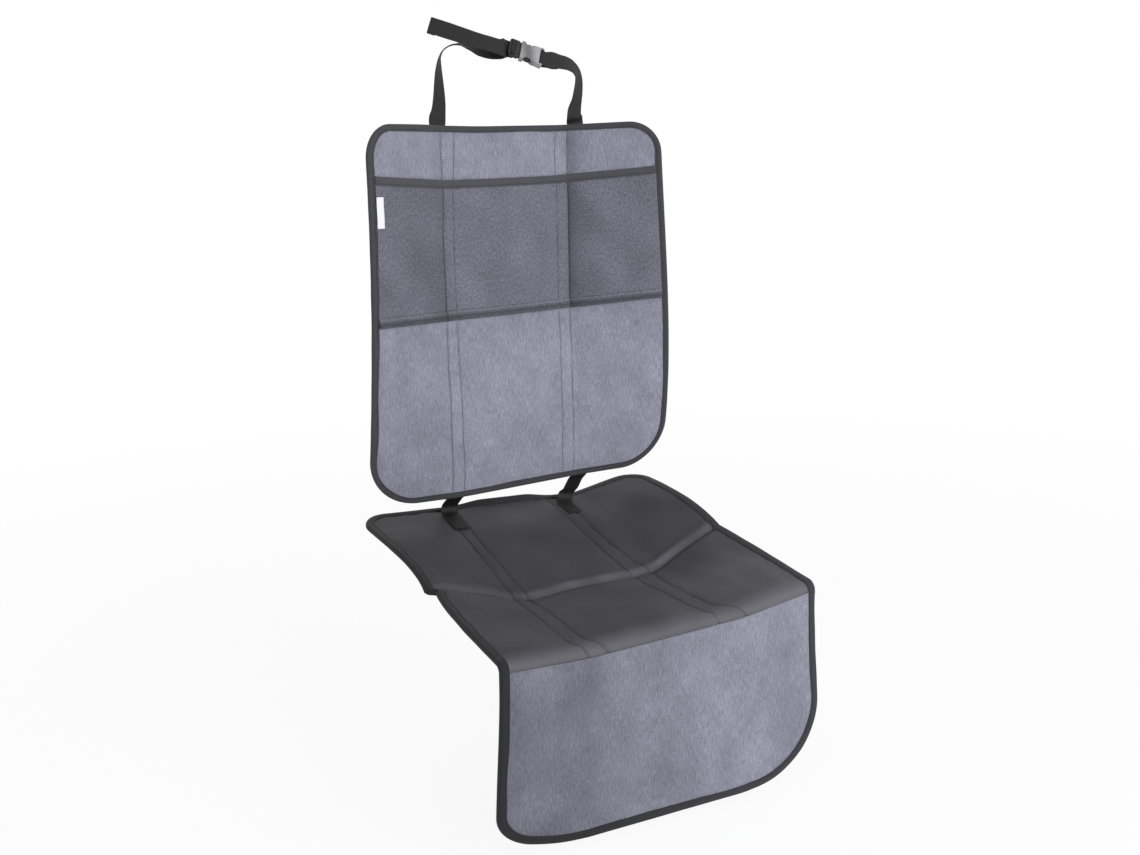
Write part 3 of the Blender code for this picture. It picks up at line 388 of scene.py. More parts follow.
def seat_middle(across, along):
    """The middle surface of the seat pad and its flap."""
    across, along = squared_corner(across, along)
    y, z = seat_profile(along)
    toward_fold = eased(along / SEAT_REAR)
    past_fold = np.clip((along - SEAT_REAR) / SEAT_FRONT, 0.0, 1.0)
    lifts = [np.where(across < 0.0, left, right) for left, right in zip(SEAT_LEFT_LIFT, SEAT_RIGHT_LIFT)]
    lift = lifts[0] + (lifts[1] - lifts[0]) * toward_fold
    lift = np.where(along < SEAT_REAR, lift, lifts[1] + (lifts[2] - lifts[1]) * past_fold)
    out, raised = turned_wing(np.abs(across), SEAT_WING_START, lift)
    z = z + seat_rise(across, along) + raised + across * math.radians(SEAT_REAR_TWIST) * (1.0 - toward_fold)
    ahead = along - along_table(FOLD_LINE, across)
    step, reach, back_step, back_reach = EDGE_JOG
    jog = step * eased(ahead / 0.008) * np.exp(-np.maximum(ahead, 0.0) / reach)
    jog = jog - back_step * (1.0 - eased(ahead / 0.008)) * np.exp(np.minimum(ahead, 0.0) / back_reach)
    jog = jog * eased((-across - 0.13) / 0.10)
    length, rise, forward = REAR_CURL
    curl = np.clip(1.0 - along / length, 0.0, 1.0) ** 2
    curl = curl * (1.0 - eased((np.abs(across + 0.010) - 0.035) / 0.055))
    z = z + curl * rise
    y = y - curl * forward - across * math.radians(FLAP_SWING) * eased((along - SEAM) / FLAP_LENGTH)
    return np.stack([np.sign(across) * out + jog, y, z], -1)


def back_middle(across, up):
    """The middle surface of the back panel, a little taller on its left."""
    share = up / BACK_HEIGHT
    up = up + BACK_LEFT_RISE * eased((-across - 0.02) / 0.13) * share ** 3
    wing = np.where(across < 0.0, through(BACK_LEFT_WING, share), through(BACK_RIGHT_WING, share))
    out, forward = turned_wing(np.abs(across), BACK_WING_START, wing)
    low, middle, top = [math.radians(angle) for angle in BACK_LEAN]
    lean = through((low, middle, top), share)
    leaned = low * (share - 1.5 * share ** 2 + 2.0 / 3.0 * share ** 3)
    leaned = leaned + middle * (2.0 * share ** 2 - 4.0 / 3.0 * share ** 3)
    leaned = leaned + top * (2.0 / 3.0 * share ** 3 - share ** 2 / 2.0)
    y = BACK_HEIGHT * leaned - forward * np.cos(lean)
    z = up + forward * np.sin(lean)
    rear_y = seat_profile(np.float64(0.0))[0]
    rear_z = SEAT_THICKNESS / 2.0 + float(seat_rise(np.float64(0.0), np.float64(0.0)))
    turn = math.radians(BACK_TURN)
    x = np.sign(across) * out
    turned_x = x * math.cos(turn) - y * math.sin(turn)
    turned_y = x * math.sin(turn) + y * math.cos(turn)
    return np.stack([turned_x, turned_y + rear_y - BACK_FORWARD, z + rear_z + BACK_RISE], -1)


class Sheet:
    """A panel cut as a rectangle with round corners and laid along a curved middle surface."""

    def __init__(self, middle, face, length, corners, thickness, cover):
        self.middle = middle
        self.face = face
        self.length = length
        self.corners = corners
        self.thickness = thickness
        self.cover = cover

    def normal(self, across, along):
        """The direction out of the panel's front face."""
        over = self.middle(across + STEP, along) - self.middle(across - STEP, along)
        up = self.middle(across, along + STEP) - self.middle(across, along - STEP)
        found = np.cross(over, up) * self.face
        return found / np.linalg.norm(found, axis=-1, keepdims=True)

    def point(self, across, along, out):
        """Points at heights over the middle surface."""
        across, along, out = np.broadcast_arrays(across, along, out)
        across, along = across.astype(float), along.astype(float)
        return self.middle(across, along) + self.normal(across, along) * out[..., None]

    def station(self, across, along, out):
        """A place for a strap that lies on the panel, with the direction across the strap."""
        over = self.middle(np.float64(across + STEP), along) - self.middle(np.float64(across - STEP), along)
        return Vector(self.point(across, along, out)), Vector(over).normalized()

    def corner_depth(self, along):
        """The corner radius at each row, and how far the row is past that corner's start."""
        near_first = along < self.length / 2.0
        radius = np.where(near_first, self.corners[0], self.corners[1])
        away = np.where(near_first, along, self.length - along)
        return radius, np.maximum(radius - away, 0.0)

    def half_width(self, along, inset):
        """Half the panel's width at places along it, less an inset."""
        radius, past = self.corner_depth(np.asarray(along, float))
        rounded = np.sqrt(np.maximum((radius - inset) ** 2 - past ** 2, 0.0))
        return np.where(past > 0.0, WIDTH / 2.0 - radius + rounded, WIDTH / 2.0 - inset)

    def edge_distance(self, across, along):
        """Distance in from the panel's outline."""
        radius, past = self.corner_depth(along)
        over = np.maximum(np.abs(across) - (WIDTH / 2.0 - radius), 0.0)
        straight = np.minimum(WIDTH / 2.0 - np.abs(across), np.minimum(along, self.length - along))
        return np.where((past > 0.0) & (over > 0.0), radius - np.hypot(over, past), straight)


BACK = Sheet(back_middle, 1.0, BACK_HEIGHT, BACK_CORNERS, BACK_THICKNESS, BACK_COVER)
SEAT = Sheet(seat_middle, -1.0, SEAT_LENGTH, SEAT_CORNERS, SEAT_THICKNESS, SEAT_COVER)


# Relief of the cloth

def ripples(across, along, seed, size, stretch=1.0, waves=14):
    """Smooth random relief of about unit height, with bumps of the given size in metres."""
    random = np.random.default_rng(seed)
    total = np.zeros(np.broadcast(across, along).shape)
    for _ in range(waves):
        heading = random.uniform(0.0, math.pi)
        length = size * random.uniform(0.7, 1.8)
        shift = random.uniform(0.0, 2.0 * math.pi)
        travel = across * math.cos(heading) + along * math.sin(heading) / stretch
        total = total + np.sin(travel * 2.0 * math.pi / length + shift)
    return total / math.sqrt(waves / 2.0)


def line_places(lines, along, seed):
    """Where each sewn line runs at places along a panel, with the small strays of a hand-guided seam."""
    return [
        along_table(line, along) + ripples(along, 0.0, seed + number, 0.07, waves=6) * SEAM_STRAY
        for number, line in enumerate(lines)
    ]


def seam_relief(distance, depth, reach):
    """How far padding is pulled in beside a stitch line: sharp at the thread, then slowly easing."""
    return depth * (0.45 * ridge(distance, reach * 0.22) + 0.55 * np.exp(-distance / reach))


def puckers(distance, along, seed, size, reach, share):
    """Short folds that run away from a seam, as a share of the wrinkles' height."""
    folds = ripples(along, distance * 0.6, seed, size, waves=8) * np.exp(-distance / reach)
    return folds * bpy.context.scene.mat_looks.wrinkle * share


def swelled(across, along, inner, near, calm, puff, padding):
    """Padding that swells from its edges, with wrinkles where it isn't calm and puckers at its tape."""
    swell, (seed, size, share), at_tape = padding
    height = puff * (1.0 - np.exp(-near / swell))
    height = height + ripples(across, along, seed, size) * bpy.context.scene.mat_looks.wrinkle * share * calm
    return height + puckers(inner, across + along, *at_tape) * eased(inner / 0.002)


def pulled_in(height, across, along, lines, seam_seed, pulls, puff, sewing):
    """Padding's height once its sewn lines have pulled it in."""
    reach, (seed, size, fade, share) = sewing
    for number, place in enumerate(line_places(lines, along, seam_seed)):
        off = np.abs(across - place)
        height = height - seam_relief(off, puff * pulls[number], reach)
        height = height + puckers(off, along, seed + number, size, fade, share)
    return height


def back_relief(across, along):
    """Height of the back cloth's face over half the panel's thickness."""
    puff = bpy.context.scene.mat_looks.back_puff
    inner = np.maximum(BACK.edge_distance(across, along) - BACK_COVER, 0.0)
    height = swelled(across, along, inner, inner, eased(inner / CALM_EDGE), puff, BACK_PADDING)
    height = pulled_in(height, across, along, BACK_LINES, BACK_SEAM_SEED, BACK_PULLS, puff, BACK_SEWING)
    beside = np.maximum(across - along_table(BACK_LINES[3], along), 0.0)
    away, width, depth = CHANNEL_DIP
    height = height - depth * ridge(beside - away, width) * (beside > 0.0)
    behind = eased((along - POCKET_BOTTOM + 0.004) / 0.004) * eased((POCKET_MOUTH + 0.003 - along) / 0.004)
    height = height - np.maximum(height, 0.0) * behind
    return np.where(inner > 0.0, np.maximum(height, -BACK_DEEPEST), 0.0)


def seat_relief(across, along):
    """Height of the seat cloth's face over half the pad's thickness."""
    looks = bpy.context.scene.mat_looks
    inner = np.maximum(SEAT.edge_distance(across, along) - SEAT_COVER, 0.0)
    near = np.minimum(inner, np.maximum(SEAM - along, 0.0))
    height = swelled(across, along, inner, near, eased(near / CALM_EDGE), looks.seat_puff, SEAT_PADDING)
    height = pulled_in(
        height, across, along, SEAT_LINES, SEAT_SEAM_SEED, SEAT_PULLS, looks.seat_puff, SEAT_SEWING,
    )
    ahead = along - along_table(FOLD_LINE, across)
    strength = 0.85 + 0.15 * ripples(across, 0.0, 43, 0.09, waves=6)
    lip = ridge(ahead - FOLD_LIP[0], FOLD_LIP[1]) * looks.fold_lip * strength
    lip = lip + ridge(ahead - FOLD_SWELL[0], FOLD_SWELL[1]) * FOLD_SWELL[2]
    valley = np.exp(-np.abs(ahead) / FOLD_VALLEY[0]) * FOLD_VALLEY[1]
    height = height + (lip - valley) * eased(inner / 0.004)
    height = height + seat_creases(across, along) * eased(inner / 0.02)
    return np.where(inner > 0.0, np.maximum(height, -SEAT_DEEPEST), 0.0)


def seat_creases(across, along):
    """The long soft creases of the front half, that curve from the fold to the front seam."""
    share = (along - along_table(FOLD_LINE, across)) / (SEAM - 0.235)
    bow = np.sin(np.clip(share, 0.0, 1.0) * math.pi)
    fade = eased(share / 0.18) * eased((1.02 - share) / 0.20)
    total = 0.0
    for place, swing, lean, width, height in CREASES:
        middle = place + swing * bow + lean * np.clip(share, 0.0, 1.0)
        total = total + height * ridge(across - middle, width)
    return total * fade


def flap_relief(across, along):
    """Height of the flap's face over half its thickness."""
    inner = np.maximum(SEAT.edge_distance(across, along) - SEAT_COVER, 0.0)
    from_seam = np.maximum(along - SEAM, 0.0)
    near = np.minimum(inner, from_seam)
    calm = eased(inner / CALM_EDGE) * eased(from_seam / CALM_EDGE)
    height = swelled(across, along, inner, near, calm, bpy.context.scene.mat_looks.flap_puff, FLAP_PADDING)
    height = height + puckers(from_seam, across, 73, 0.017, 0.010, 0.4)
    away, width, depth = SEAM_GROOVE
    height = height - depth * ridge(from_seam - away, width)
    return np.where(inner > 0.0, height, 0.0)


# The cloths' tone, with painted light and shade where the padding curves, folds and rolls.
def beside_lines(across, along):
    """How far outside the left channel a place is, and whether it is; then the same for the right channel."""
    left = along_table(BACK_LINES[0], along) - across
    right = across - along_table(BACK_LINES[3], along)
    return np.maximum(left, 0.0), left > 0.0, np.maximum(right, 0.0), right > 0.0


def sewn_lines(lines, across, along, depths):
    """Painted shade: how far a cloth darkens into the grooves of its sewn lines."""
    total = 0.0
    for line, depth in zip(lines, depths):
        total = total + depth * ridge(across - along_table(line, along), 0.0010)
    return total


def back_tone(across, along):
    """The back cloth's tone along its flat size, mottled a little, with painted light and shade: lighter low
    on the panel, darkest where its wings leave the channels, and darker in its sewn lines.
    """
    left, is_left, right, is_right = beside_lines(across, along)
    upper = eased((along - 0.20) / 0.08)
    tone = 1.0 + 0.03 * ripples(across, along, 15, 0.08)
    # Painted light low on the panel, except on its left wing; then painted shade beside the channels.
    tone = tone + 0.11 * eased((0.25 - along) / 0.08) * eased((across + 0.17) / 0.10)
    tone = tone - (0.03 + 0.06 * upper) * np.exp(-left / 0.020) * is_left
    tone = tone - sewn_lines(BACK_LINES, across, along, BACK_PAINTED_GROOVE_SHADE)
    return tone - (0.06 + 0.28 * upper) * np.exp(-(right / 0.013) ** 1.5) * is_right


def pocket_tone(across, along):
    """The pocket cloth's tone, mottled a little, with painted light and shade: darker beside the channels, on
    its left wing and in its sewn lines, a band of painted shade along its rolled hem, and a thin painted
    highlight just below the hem's stitching.
    """
    left, is_left, right, is_right = beside_lines(across, along)
    tone = 0.98 + 0.045 * ripples(across + along * 0.6, along, 16, 0.07)
    tone = tone - 0.10 * eased((-across - 0.09) / 0.03)
    tone = tone - 0.16 * np.exp(-left / 0.024) * is_left - 0.44 * np.exp(-(right / 0.015) ** 1.5) * is_right
    tone = tone - sewn_lines(BACK_LINES, across, along, POCKET_PAINTED_GROOVE_SHADE)
    # Painted shade under the hem's roll, and a painted highlight below its stitching.
    above = along - POCKET_BOTTOM
    tone = tone * (1.0 - 0.62 * ridge(above - 0.0050, 0.0042))
    return tone * (1.0 + 0.16 * ridge(above - POCKET_HEM + 0.002, 0.0016))


def seat_tone(across, along):
    """The seat's tone, mottled a little, with painted light and shade: a painted highlight on the lip of its
    fold and painted shade in the crease below it, a painted reflection that lightens its front half with more
    painted light to the right, painted shade in its sewn lines, and a painted highlight on its front roll.
    """
    ahead = along - along_table(FOLD_LINE, across)
    front = eased(ahead / 0.012)
    tone = 0.86 + 0.20 * front + 0.06 * ripples(across, along, 45, 0.09)
    # Painted highlight on the fold's lip, and painted shade in its crease.
    lip = (0.20 + 0.60 * eased((across + 0.125) / 0.05)) * (1.0 + 0.25 * ripples(across, along, 46, 0.06))
    tone = tone + lip * ridge(ahead + 0.008, 0.0060) - 0.50 * ridge(ahead - 0.001, 0.0022)
    tone = tone + 0.45 * front * eased((across - 0.04) / 0.16) * eased((along - 0.27) / 0.06)
    tone = tone - sewn_lines(SEAT_LINES, across, along, SEAT_PAINTED_GROOVE_SHADE)
    # Painted highlight on the front roll.
    return tone + 0.75 * eased((along - SEAM + 0.034) / 0.026)


def flap_tone(across, along):
    """The flap's tone, mottled a little, with painted shade that darkens it towards its left."""
    return 0.58 + 0.39 * eased((across + 0.22) / 0.34) + 0.05 * ripples(across, along, 75, 0.10)


def pocket_seat(along):
    """Height of the pocket cloth's inner face over the back panel's middle surface."""
    rise = eased((along - POCKET_BOTTOM) / (POCKET_MOUTH - POCKET_BOTTOM - MOUTH_TAPE_COVER))
    seated = BACK_THICKNESS / 2.0 + GAP
    return seated + (TAPE + GAP) * rise


def pocket_shift(across, along):
    """How far the pocket's mouth and hem stray from level."""
    up = eased((along - 0.36) / (POCKET_MOUTH - 0.36))
    down = eased((0.30 - along) / (0.30 - POCKET_BOTTOM))
    return up * along_table(MOUTH_LINE, across) + down * along_table(HEM_LINE, across)


def to_channel(across, along):
    """Distance from the nearest line that sews the pockets down."""
    return np.min([np.abs(across - along_table(line, along)) for line in BACK_LINES], axis=0)


def pocket_relief(across, along):
    """How far the pocket cloth stands off its flat place: it bags a little between its seams."""
    looks = bpy.context.scene.mat_looks
    to_side = np.maximum(WIDTH / 2.0 - BACK_COVER - np.abs(across), 0.0)
    above = along - POCKET_BOTTOM
    channel = to_channel(across, along)
    free = np.minimum(to_side, channel)
    up = eased((above - POCKET_HEM) / 0.03)
    height = looks.pocket_bag * (1.0 - np.exp(-free / 0.016)) * up
    wrinkles = ripples(across + along * 0.7, along, 81, 0.055, 1.6) * looks.wrinkle * 1.1
    height = height + wrinkles * up * eased(free / 0.02)
    height = height + puckers(channel, along, 82, 0.014, 0.009, 0.5) * up
    height = height + puckers(np.abs(above - POCKET_HEM), across, 83, 0.013, 0.008, 0.5)
    return np.maximum(height, 0.0)


def hem_roll(along):
    """The rolled hem along the pocket's bottom, proudest just above its lower edge."""
    share = np.clip((along - POCKET_BOTTOM) / POCKET_HEM, 0.0, 1.0)
    return HEM_ROLL * np.sin(math.pi * share ** 0.55) ** 0.8


# Meshes

def link(name, mesh):
    """A new object in the scene."""
    made = bpy.data.objects.new(name, mesh)
    bpy.context.scene.collection.objects.link(made)
    return made


def mesh_from(name, bm):
    """A mesh from a bmesh, which is freed."""
    mesh = bpy.data.meshes.new(name)
    bm.to_mesh(mesh)
    bm.free()
    return mesh


def worked_out(piece):
    """The mesh of a curve, or of a piece with its modifiers."""
    shaped = bpy.context.evaluated_depsgraph_get()
    return bpy.data.meshes.new_from_object(piece.evaluated_get(shaped))


def points_of(mesh):
    """A mesh's points, as rows of X, Y and Z."""
    points = np.empty(len(mesh.vertices) * 3, np.float32)
    mesh.vertices.foreach_get("co", points)
    return points.reshape(-1, 3).astype(float)


def move_points(mesh, points):
    """Put a mesh's points in place."""
    mesh.vertices.foreach_set("co", points.astype(np.float32).ravel())


def on_grid(points, columns, rows):
    """The column and the row of a unit grid that each point is on."""
    sides = zip(points[:, :2].T, (columns, rows))
    return [np.rint((places + 0.5) * steps).astype(int) for places, steps in sides]


def keep(mesh, name, values):
    """Store a number or a place for each point, as the attribute that the finishes read."""
    kind, field = ("FLOAT", "value") if values.ndim == 1 else ("FLOAT_VECTOR", "vector")
    mesh.attributes.new(name, kind, "POINT").data.foreach_set(field, values.astype(np.float32).ravel())


def shade(piece, tone):
    """Store a piece's tone and its painted light and shade, from its points across the mat."""
    keep(piece.data, "tone", tone(points_of(piece.data)[:, 0]))


def place_piece(piece, finishes, slot, *nodes):
    """Give a piece its materials, hang it on the mat's body, and let it stand for its solids."""
    for finish in finishes:
        piece.data.materials.append(finish_made(finish))
    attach(piece, BODY)
    if nodes:
        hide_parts(*nodes)


def rows_along(sheet, start, end, inset):
    """Fine rows over a panel, closer together in its round corners."""
    rows = []
    first, last = sheet.corners
    if start <= inset:
        rows += [first - (first - inset) * math.cos(angle) for angle in spaced(0.0, math.pi / 2.0, 22)]
        start = first
    tail = []
    if end >= sheet.length - inset:
        end = sheet.length - last
        tail = [end + (last - inset) * math.sin(angle) for angle in spaced(0.0, math.pi / 2.0, 26)]
    return rows[:-1] + stepped(start, end, GRID_STEP) + tail[1:]


def places_across(sheet, lines, rows, inset):
    """Fine places across each row from edge to edge, with columns that follow the sewn lines."""
    rows = np.array(rows)
    edge = sheet.half_width(rows, inset)
    knots = [-edge, *(along_table(line, rows) for line in lines), edge]
    places = []
    for number, (start, end) in enumerate(zip(knots, knots[1:])):
        first = start + LINE_HUG * (number > 0)
        last = end - LINE_HUG * (number < len(lines))
        shares = np.linspace(0.0, 1.0, max(int(np.max(end - start) / GRID_STEP), 2) + 1)
        places.append(first[:, None] + (last - first)[:, None] * shares)
        if number < len(lines):
            places.append(end[:, None])
    return np.concatenate(places, 1)


def cloth_slab(name, sheet, rows, places, low, high, tone=None, shift=None):
    """A closed cloth between two heights, on a fine grid. It keeps its flat places, and its tone with its
    painted light and shade.
    """
    rows = np.array(rows)
    bm = bmesh.new()
    bmesh.ops.create_grid(bm, x_segments=places.shape[1] - 1, y_segments=len(rows) - 1, size=0.5)
    raised = bmesh.ops.extrude_face_region(bm, geom=bm.faces[:])["geom"]
    top = [item for item in raised if isinstance(item, bmesh.types.BMVert)]
    bmesh.ops.translate(bm, verts=top, vec=(0.0, 0.0, 1.0))
    bmesh.ops.recalc_face_normals(bm, faces=bm.faces)
    for face in bm.faces:
        face.material_index = 1 if face.normal.z < -0.5 else 0
        face.smooth = True
    mesh = mesh_from(name, bm)
    spot = points_of(mesh)
    column, row = on_grid(spot, places.shape[1] - 1, len(rows) - 1)
    across, along = places[row, column], rows[row]
    height = np.where(spot[:, 2] > 0.5, high(across, along), low(across, along))
    moved = along + shift(across, along) if shift else along
    move_points(mesh, sheet.point(across, moved, height))
    keep(mesh, "flat", np.stack([across, along, height], -1))
    keep(mesh, "tone", tone(across, along) if tone else np.ones(len(across)))
    if sheet.face < 0.0:
        mesh.flip_normals()
    mesh.update()
    return link(name, mesh)


def padded_cloth(name, sheet, rows, places, relief, tone):
    """A padded panel: a cloth with relief on its front and a level backing behind it."""
    half = sheet.thickness / 2.0
    return cloth_slab(
        name, sheet, rows, places, lambda across, along: across * 0.0 - half,
        lambda across, along: half + relief(across, along), tone,
    )


def swept(name, rings, flat, closed):
    """A smooth body drawn through rings of points, from a grid laid over the rings, with its ends filled when
    it is open.
    """
    rings = np.asarray(rings, float)
    count, size = rings.shape[:2]
    bm = bmesh.new()
    bmesh.ops.create_grid(bm, x_segments=size, y_segments=count - 1 + closed, size=0.5)
    mesh = mesh_from(name, bm)
    column, row = on_grid(points_of(mesh), size, count - 1 + closed)
    move_points(mesh, rings[row % count, column % size])
    keep(mesh, "flat", np.asarray(flat, float)[np.minimum(row, len(flat) - 1), column % size])
    bm = bmesh.new()
    bm.from_mesh(mesh)
    bmesh.ops.remove_doubles(bm, verts=bm.verts, dist=1e-7)
    if not closed:
        open_edges = [edge for edge in bm.edges if edge.is_boundary]
        bmesh.ops.holes_fill(bm, edges=open_edges, sides=0)
    bmesh.ops.recalc_face_normals(bm, faces=bm.faces)
    if bm.calc_volume(signed=True) < 0.0:
        bmesh.ops.reverse_faces(bm, faces=bm.faces)
    for face in bm.faces:
        face.smooth = True
    bm.to_mesh(mesh)
    bm.free()
    mesh.set_sharp_from_angle(angle=math.radians(50.0))
    return link(name, mesh)


def outline_of(sheet):
    """Places and inward directions round a panel's edge, a few millimetres apart."""
    half = WIDTH / 2.0
    first, last = sheet.corners
    right = []
    for radius, centre, start in ((first, first, -90.0), (last, sheet.length - last, 0.0)):
        steps = int(radius * math.pi / 2.0 / EDGE_STEP)
        for degrees in spaced(start, start + 90.0, steps):
            out = Vector((math.cos(math.radians(degrees)), math.sin(math.radians(degrees))))
            right.append((half - radius + out.x * radius, centre + out.y * radius, -out.x, -out.y))
        if start < 0.0:
            stretch = sheet.length - first - last
            for step in spaced(first, first + stretch, int(stretch / EDGE_STEP))[1:-1]:
                right.append((half, step, -1.0, 0.0))
    right = np.array(right)
    left = right[::-1] * np.array([-1.0, 1.0, -1.0, 1.0])
    ends = []
    for radius, level, inward in ((first, 0.0, 1.0), (last, sheet.length, -1.0)):
        steps = int((WIDTH - 2.0 * radius) / EDGE_STEP)
        columns = np.array(spaced(-(half - radius), half - radius, steps))[1:-1]
        ends.append(np.stack([columns, columns * 0.0 + level, columns * 0.0, columns * 0.0 + inward], -1))
    return np.concatenate([right, ends[1][::-1], left, ends[0]])


def tape_profile(cover, half_thickness):
    """A folded edge tape in section: distances in, heights, and places across the tape's width."""
    inner = half_thickness + 0.0001
    outer = half_thickness + TAPE + 0.0003
    leg = [(cover, inner + 0.0004), (cover - 0.0002, outer + 0.0001), (cover - 0.0010, outer + 0.0003)]
    leg += [(cover - 0.0021, outer - 0.0003), (cover - 0.0034, outer + 0.0001)]
    leg += [(cover * 0.45, outer + 0.0002), (0.0022, outer), (0.0011, outer - 0.0004), (0.0004, outer * 0.62)]
    nose = [(0.0, outer * 0.25)]
    outside = leg + nose + [(depth, -height) for depth, height in nose + leg[::-1]]
    inside = [(cover, -inner + 0.0002), (TAPE * 1.4, -inner), (TAPE, 0.0)]
    inside += [(depth, -height) for depth, height in inside[1::-1]]
    profile = np.array(outside + inside)
    steps = np.hypot(*(profile - np.roll(profile, 1, 0)).T)
    steps[0] = 0.0
    return profile, np.cumsum(steps)


def edge_tape(name, sheet, seed):
    """The tape folded round a panel's whole edge, a little uneven as a sewn tape is."""
    outline = outline_of(sheet)
    profile, width_place = tape_profile(sheet.cover, sheet.thickness / 2.0)
    steps = np.hypot(*(outline[:, :2] - np.roll(outline[:, :2], 1, 0)).T)
    steps[0] = 0.0
    travel = np.cumsum(steps)
    length = travel[-1] + EDGE_STEP
    turn = travel / length * 2.0 * math.pi
    uneven = ripples(np.cos(turn) * 0.3, np.sin(turn) * 0.3, seed, 0.05) * 0.00025
    drift = ripples(np.cos(turn) * 0.3, np.sin(turn) * 0.3, seed + 1, 0.08) * 0.0004
    depth = profile[None, :, 0] * (1.0 + drift[:, None] / sheet.cover)
    across = outline[:, None, 0] + outline[:, None, 2] * depth
    along = outline[:, None, 1] + outline[:, None, 3] * depth
    height = profile[None, :, 1] * (1.0 + uneven[:, None] / sheet.thickness)
    rings = sheet.point(across, along, height)
    flat = np.stack(np.broadcast_arrays(travel[:, None], width_place[None, :], height), -1)
    return swept(name, rings, np.concatenate([flat, flat[:1] + np.array([length, 0.0, 0.0])]), True)


# Webbing

def headings(stations):
    """The direction of travel at each station, closer to that of the shorter length beside it."""
    lengths = [after[0] - before[0] for before, after in zip(stations, stations[1:])]
    found = [lengths[0].normalized()]
    for before, after in zip(lengths, lengths[1:]):
        found.append((before.normalized() / before.length + after.normalized() / after.length).normalized())
    return found + [lengths[-1].normalized()]


def smooth_stations(stations, spacing):
    """Stations a set distance apart along a smooth curve through the given ones."""
    travel = headings(stations)
    curve = []
    for index in range(len(stations) - 1):
        (start, across), (end, next_across) = stations[index:index + 2]
        length = (end - start).length
        for share in spaced(0.0, 1.0, max(int(length / spacing + 0.5), 3))[:-1]:
            gone = share * share * (3.0 - 2.0 * share)
            leaving = share * (1.0 - share) ** 2 * length
            arriving = share ** 2 * (share - 1.0) * length
            place = start.lerp(end, gone) + travel[index] * leaving + travel[index + 1] * arriving
            curve.append((place, across.lerp(next_across, share)))
    return curve + [stations[-1]]


def webbing(name, stations):
    """A woven strap along stations, with soft round selvedges."""
    half, thick = WEBBING_WIDTH / 2.0, WEBBING / 2.0
    face = [(-1.0, 0.0), (-0.985, 0.72), (-0.93, 0.98), (-0.80, 0.88), (-0.45, 0.96), (0.0, 0.98)]
    top = face + [(-x, y) for x, y in face[-2:0:-1]]
    section = np.array(top + [(1.0, 0.0)] + [(x, -y) for x, y in top[:0:-1]])
    rings, flat, travelled = [], [], 0.0
    for index, (place, across) in enumerate(stations):
        before, after = stations[max(index - 1, 0)][0], stations[min(index + 1, len(stations) - 1)][0]
        along = (after - before).normalized()
        side = (across - along * across.dot(along)).normalized()
        out = along.cross(side)
        if index:
            travelled += (place - before).length
        offsets = section[:, :1] * np.array(side) * half + section[:, 1:] * np.array(out) * thick
        rings.append(np.array(place) + offsets)
        flat.append([(x * half, travelled, y * thick) for x, y in section])
    return swept(name, rings, flat, False)


def strap_backing():
    """Height of a strap's middle behind the back panel's middle surface."""
    return -(BACK_THICKNESS / 2.0 + GAP + TAPE + GAP + WEBBING / 2.0)


def of_side(side, pair):
    """The left or the right one of a pair of values."""
    return pair[0] if side < 0.0 else pair[1]


def strap_start(side):
    """Where a headrest strap leaves the back panel's top edge."""
    return BACK.station(side * of_side(side, HEADREST_STRAP_PLACES), BACK_HEIGHT, strap_backing())[0]


def strap_base(side):
    """A headrest strap's sewn end, and its station over the top edge, turned and clear of it."""
    place = side * of_side(side, HEADREST_STRAP_PLACES)
    over = BACK_HEIGHT + HEADREST_STRAP_RISE
    point, level = BACK.station(place, over, strap_backing())
    turned = level.lerp(Vector(of_side(side, HEADREST_STRAP_ACROSS)), HEADREST_STRAP_TURN).normalized()
    normal = Vector(BACK.normal(np.float64(place), np.float64(over)))
    clear = WEBBING_WIDTH / 2.0 * abs(turned.dot(normal))
    ups = (BACK_HEIGHT - HEADREST_STRAP_SEWN, BACK_HEIGHT - 0.35 * HEADREST_STRAP_SEWN)
    return [BACK.station(place, up, strap_backing()) for up in ups] + [(point - normal * clear, turned)]


def buckle_frame():
    """The buckle's place and directions, as a matrix from its own frame to the mat's."""
    middle = (strap_start(-1.0) + strap_start(1.0)) / 2.0
    along = Vector(BUCKLE_ALONG).normalized()
    across = Vector(BUCKLE_ACROSS)
    across = (across - along * across.dot(along)).normalized()
    turn = Matrix((along, across, along.cross(across))).transposed().to_4x4()
    return Matrix.Translation(middle + Vector(BUCKLE_PLACE)) @ turn


def in_buckle(along, front):
    """A strap station at a place in the buckle's own frame."""
    whole = buckle_frame()
    return whole @ Vector((along, 0.0, front)), whole.to_3x3() @ Vector((0.0, 1.0, 0.0))


def between(start, end, route):
    """Strap stations at shares of the way from one point to another."""
    return [
        (Vector((
            start.x + (end.x - start.x) * aside, start.y + backward, start.z + (end.z - start.z) * up,
        )), Vector(across).normalized())
        for aside, up, backward, *across in route
    ]


def plug_slots():
    """Where the plug's end bar, its slots and its body start and stop, along the buckle."""
    left = -BUCKLE_LENGTH / 2.0
    outer_slot = left + PLUG_END_BAR
    bar = outer_slot + PLUG_SLOT
    inner_slot = bar + PLUG_BAR
    return left, outer_slot, bar, inner_slot, inner_slot + PLUG_SLOT


def round_corner(corner, level, toward):
    """Stations that take a strap round a bar's corner, from the slot beside it to its face."""
    reach = WEBBING / 2.0 + STRAP_SPARE
    side = math.copysign(1.0, toward)
    face = math.copysign(reach, level)
    return [
        in_buckle(corner + side * reach, level),
        in_buckle(corner + side * reach * 0.71, level + face * 0.71),
        in_buckle(corner, level + face),
    ]


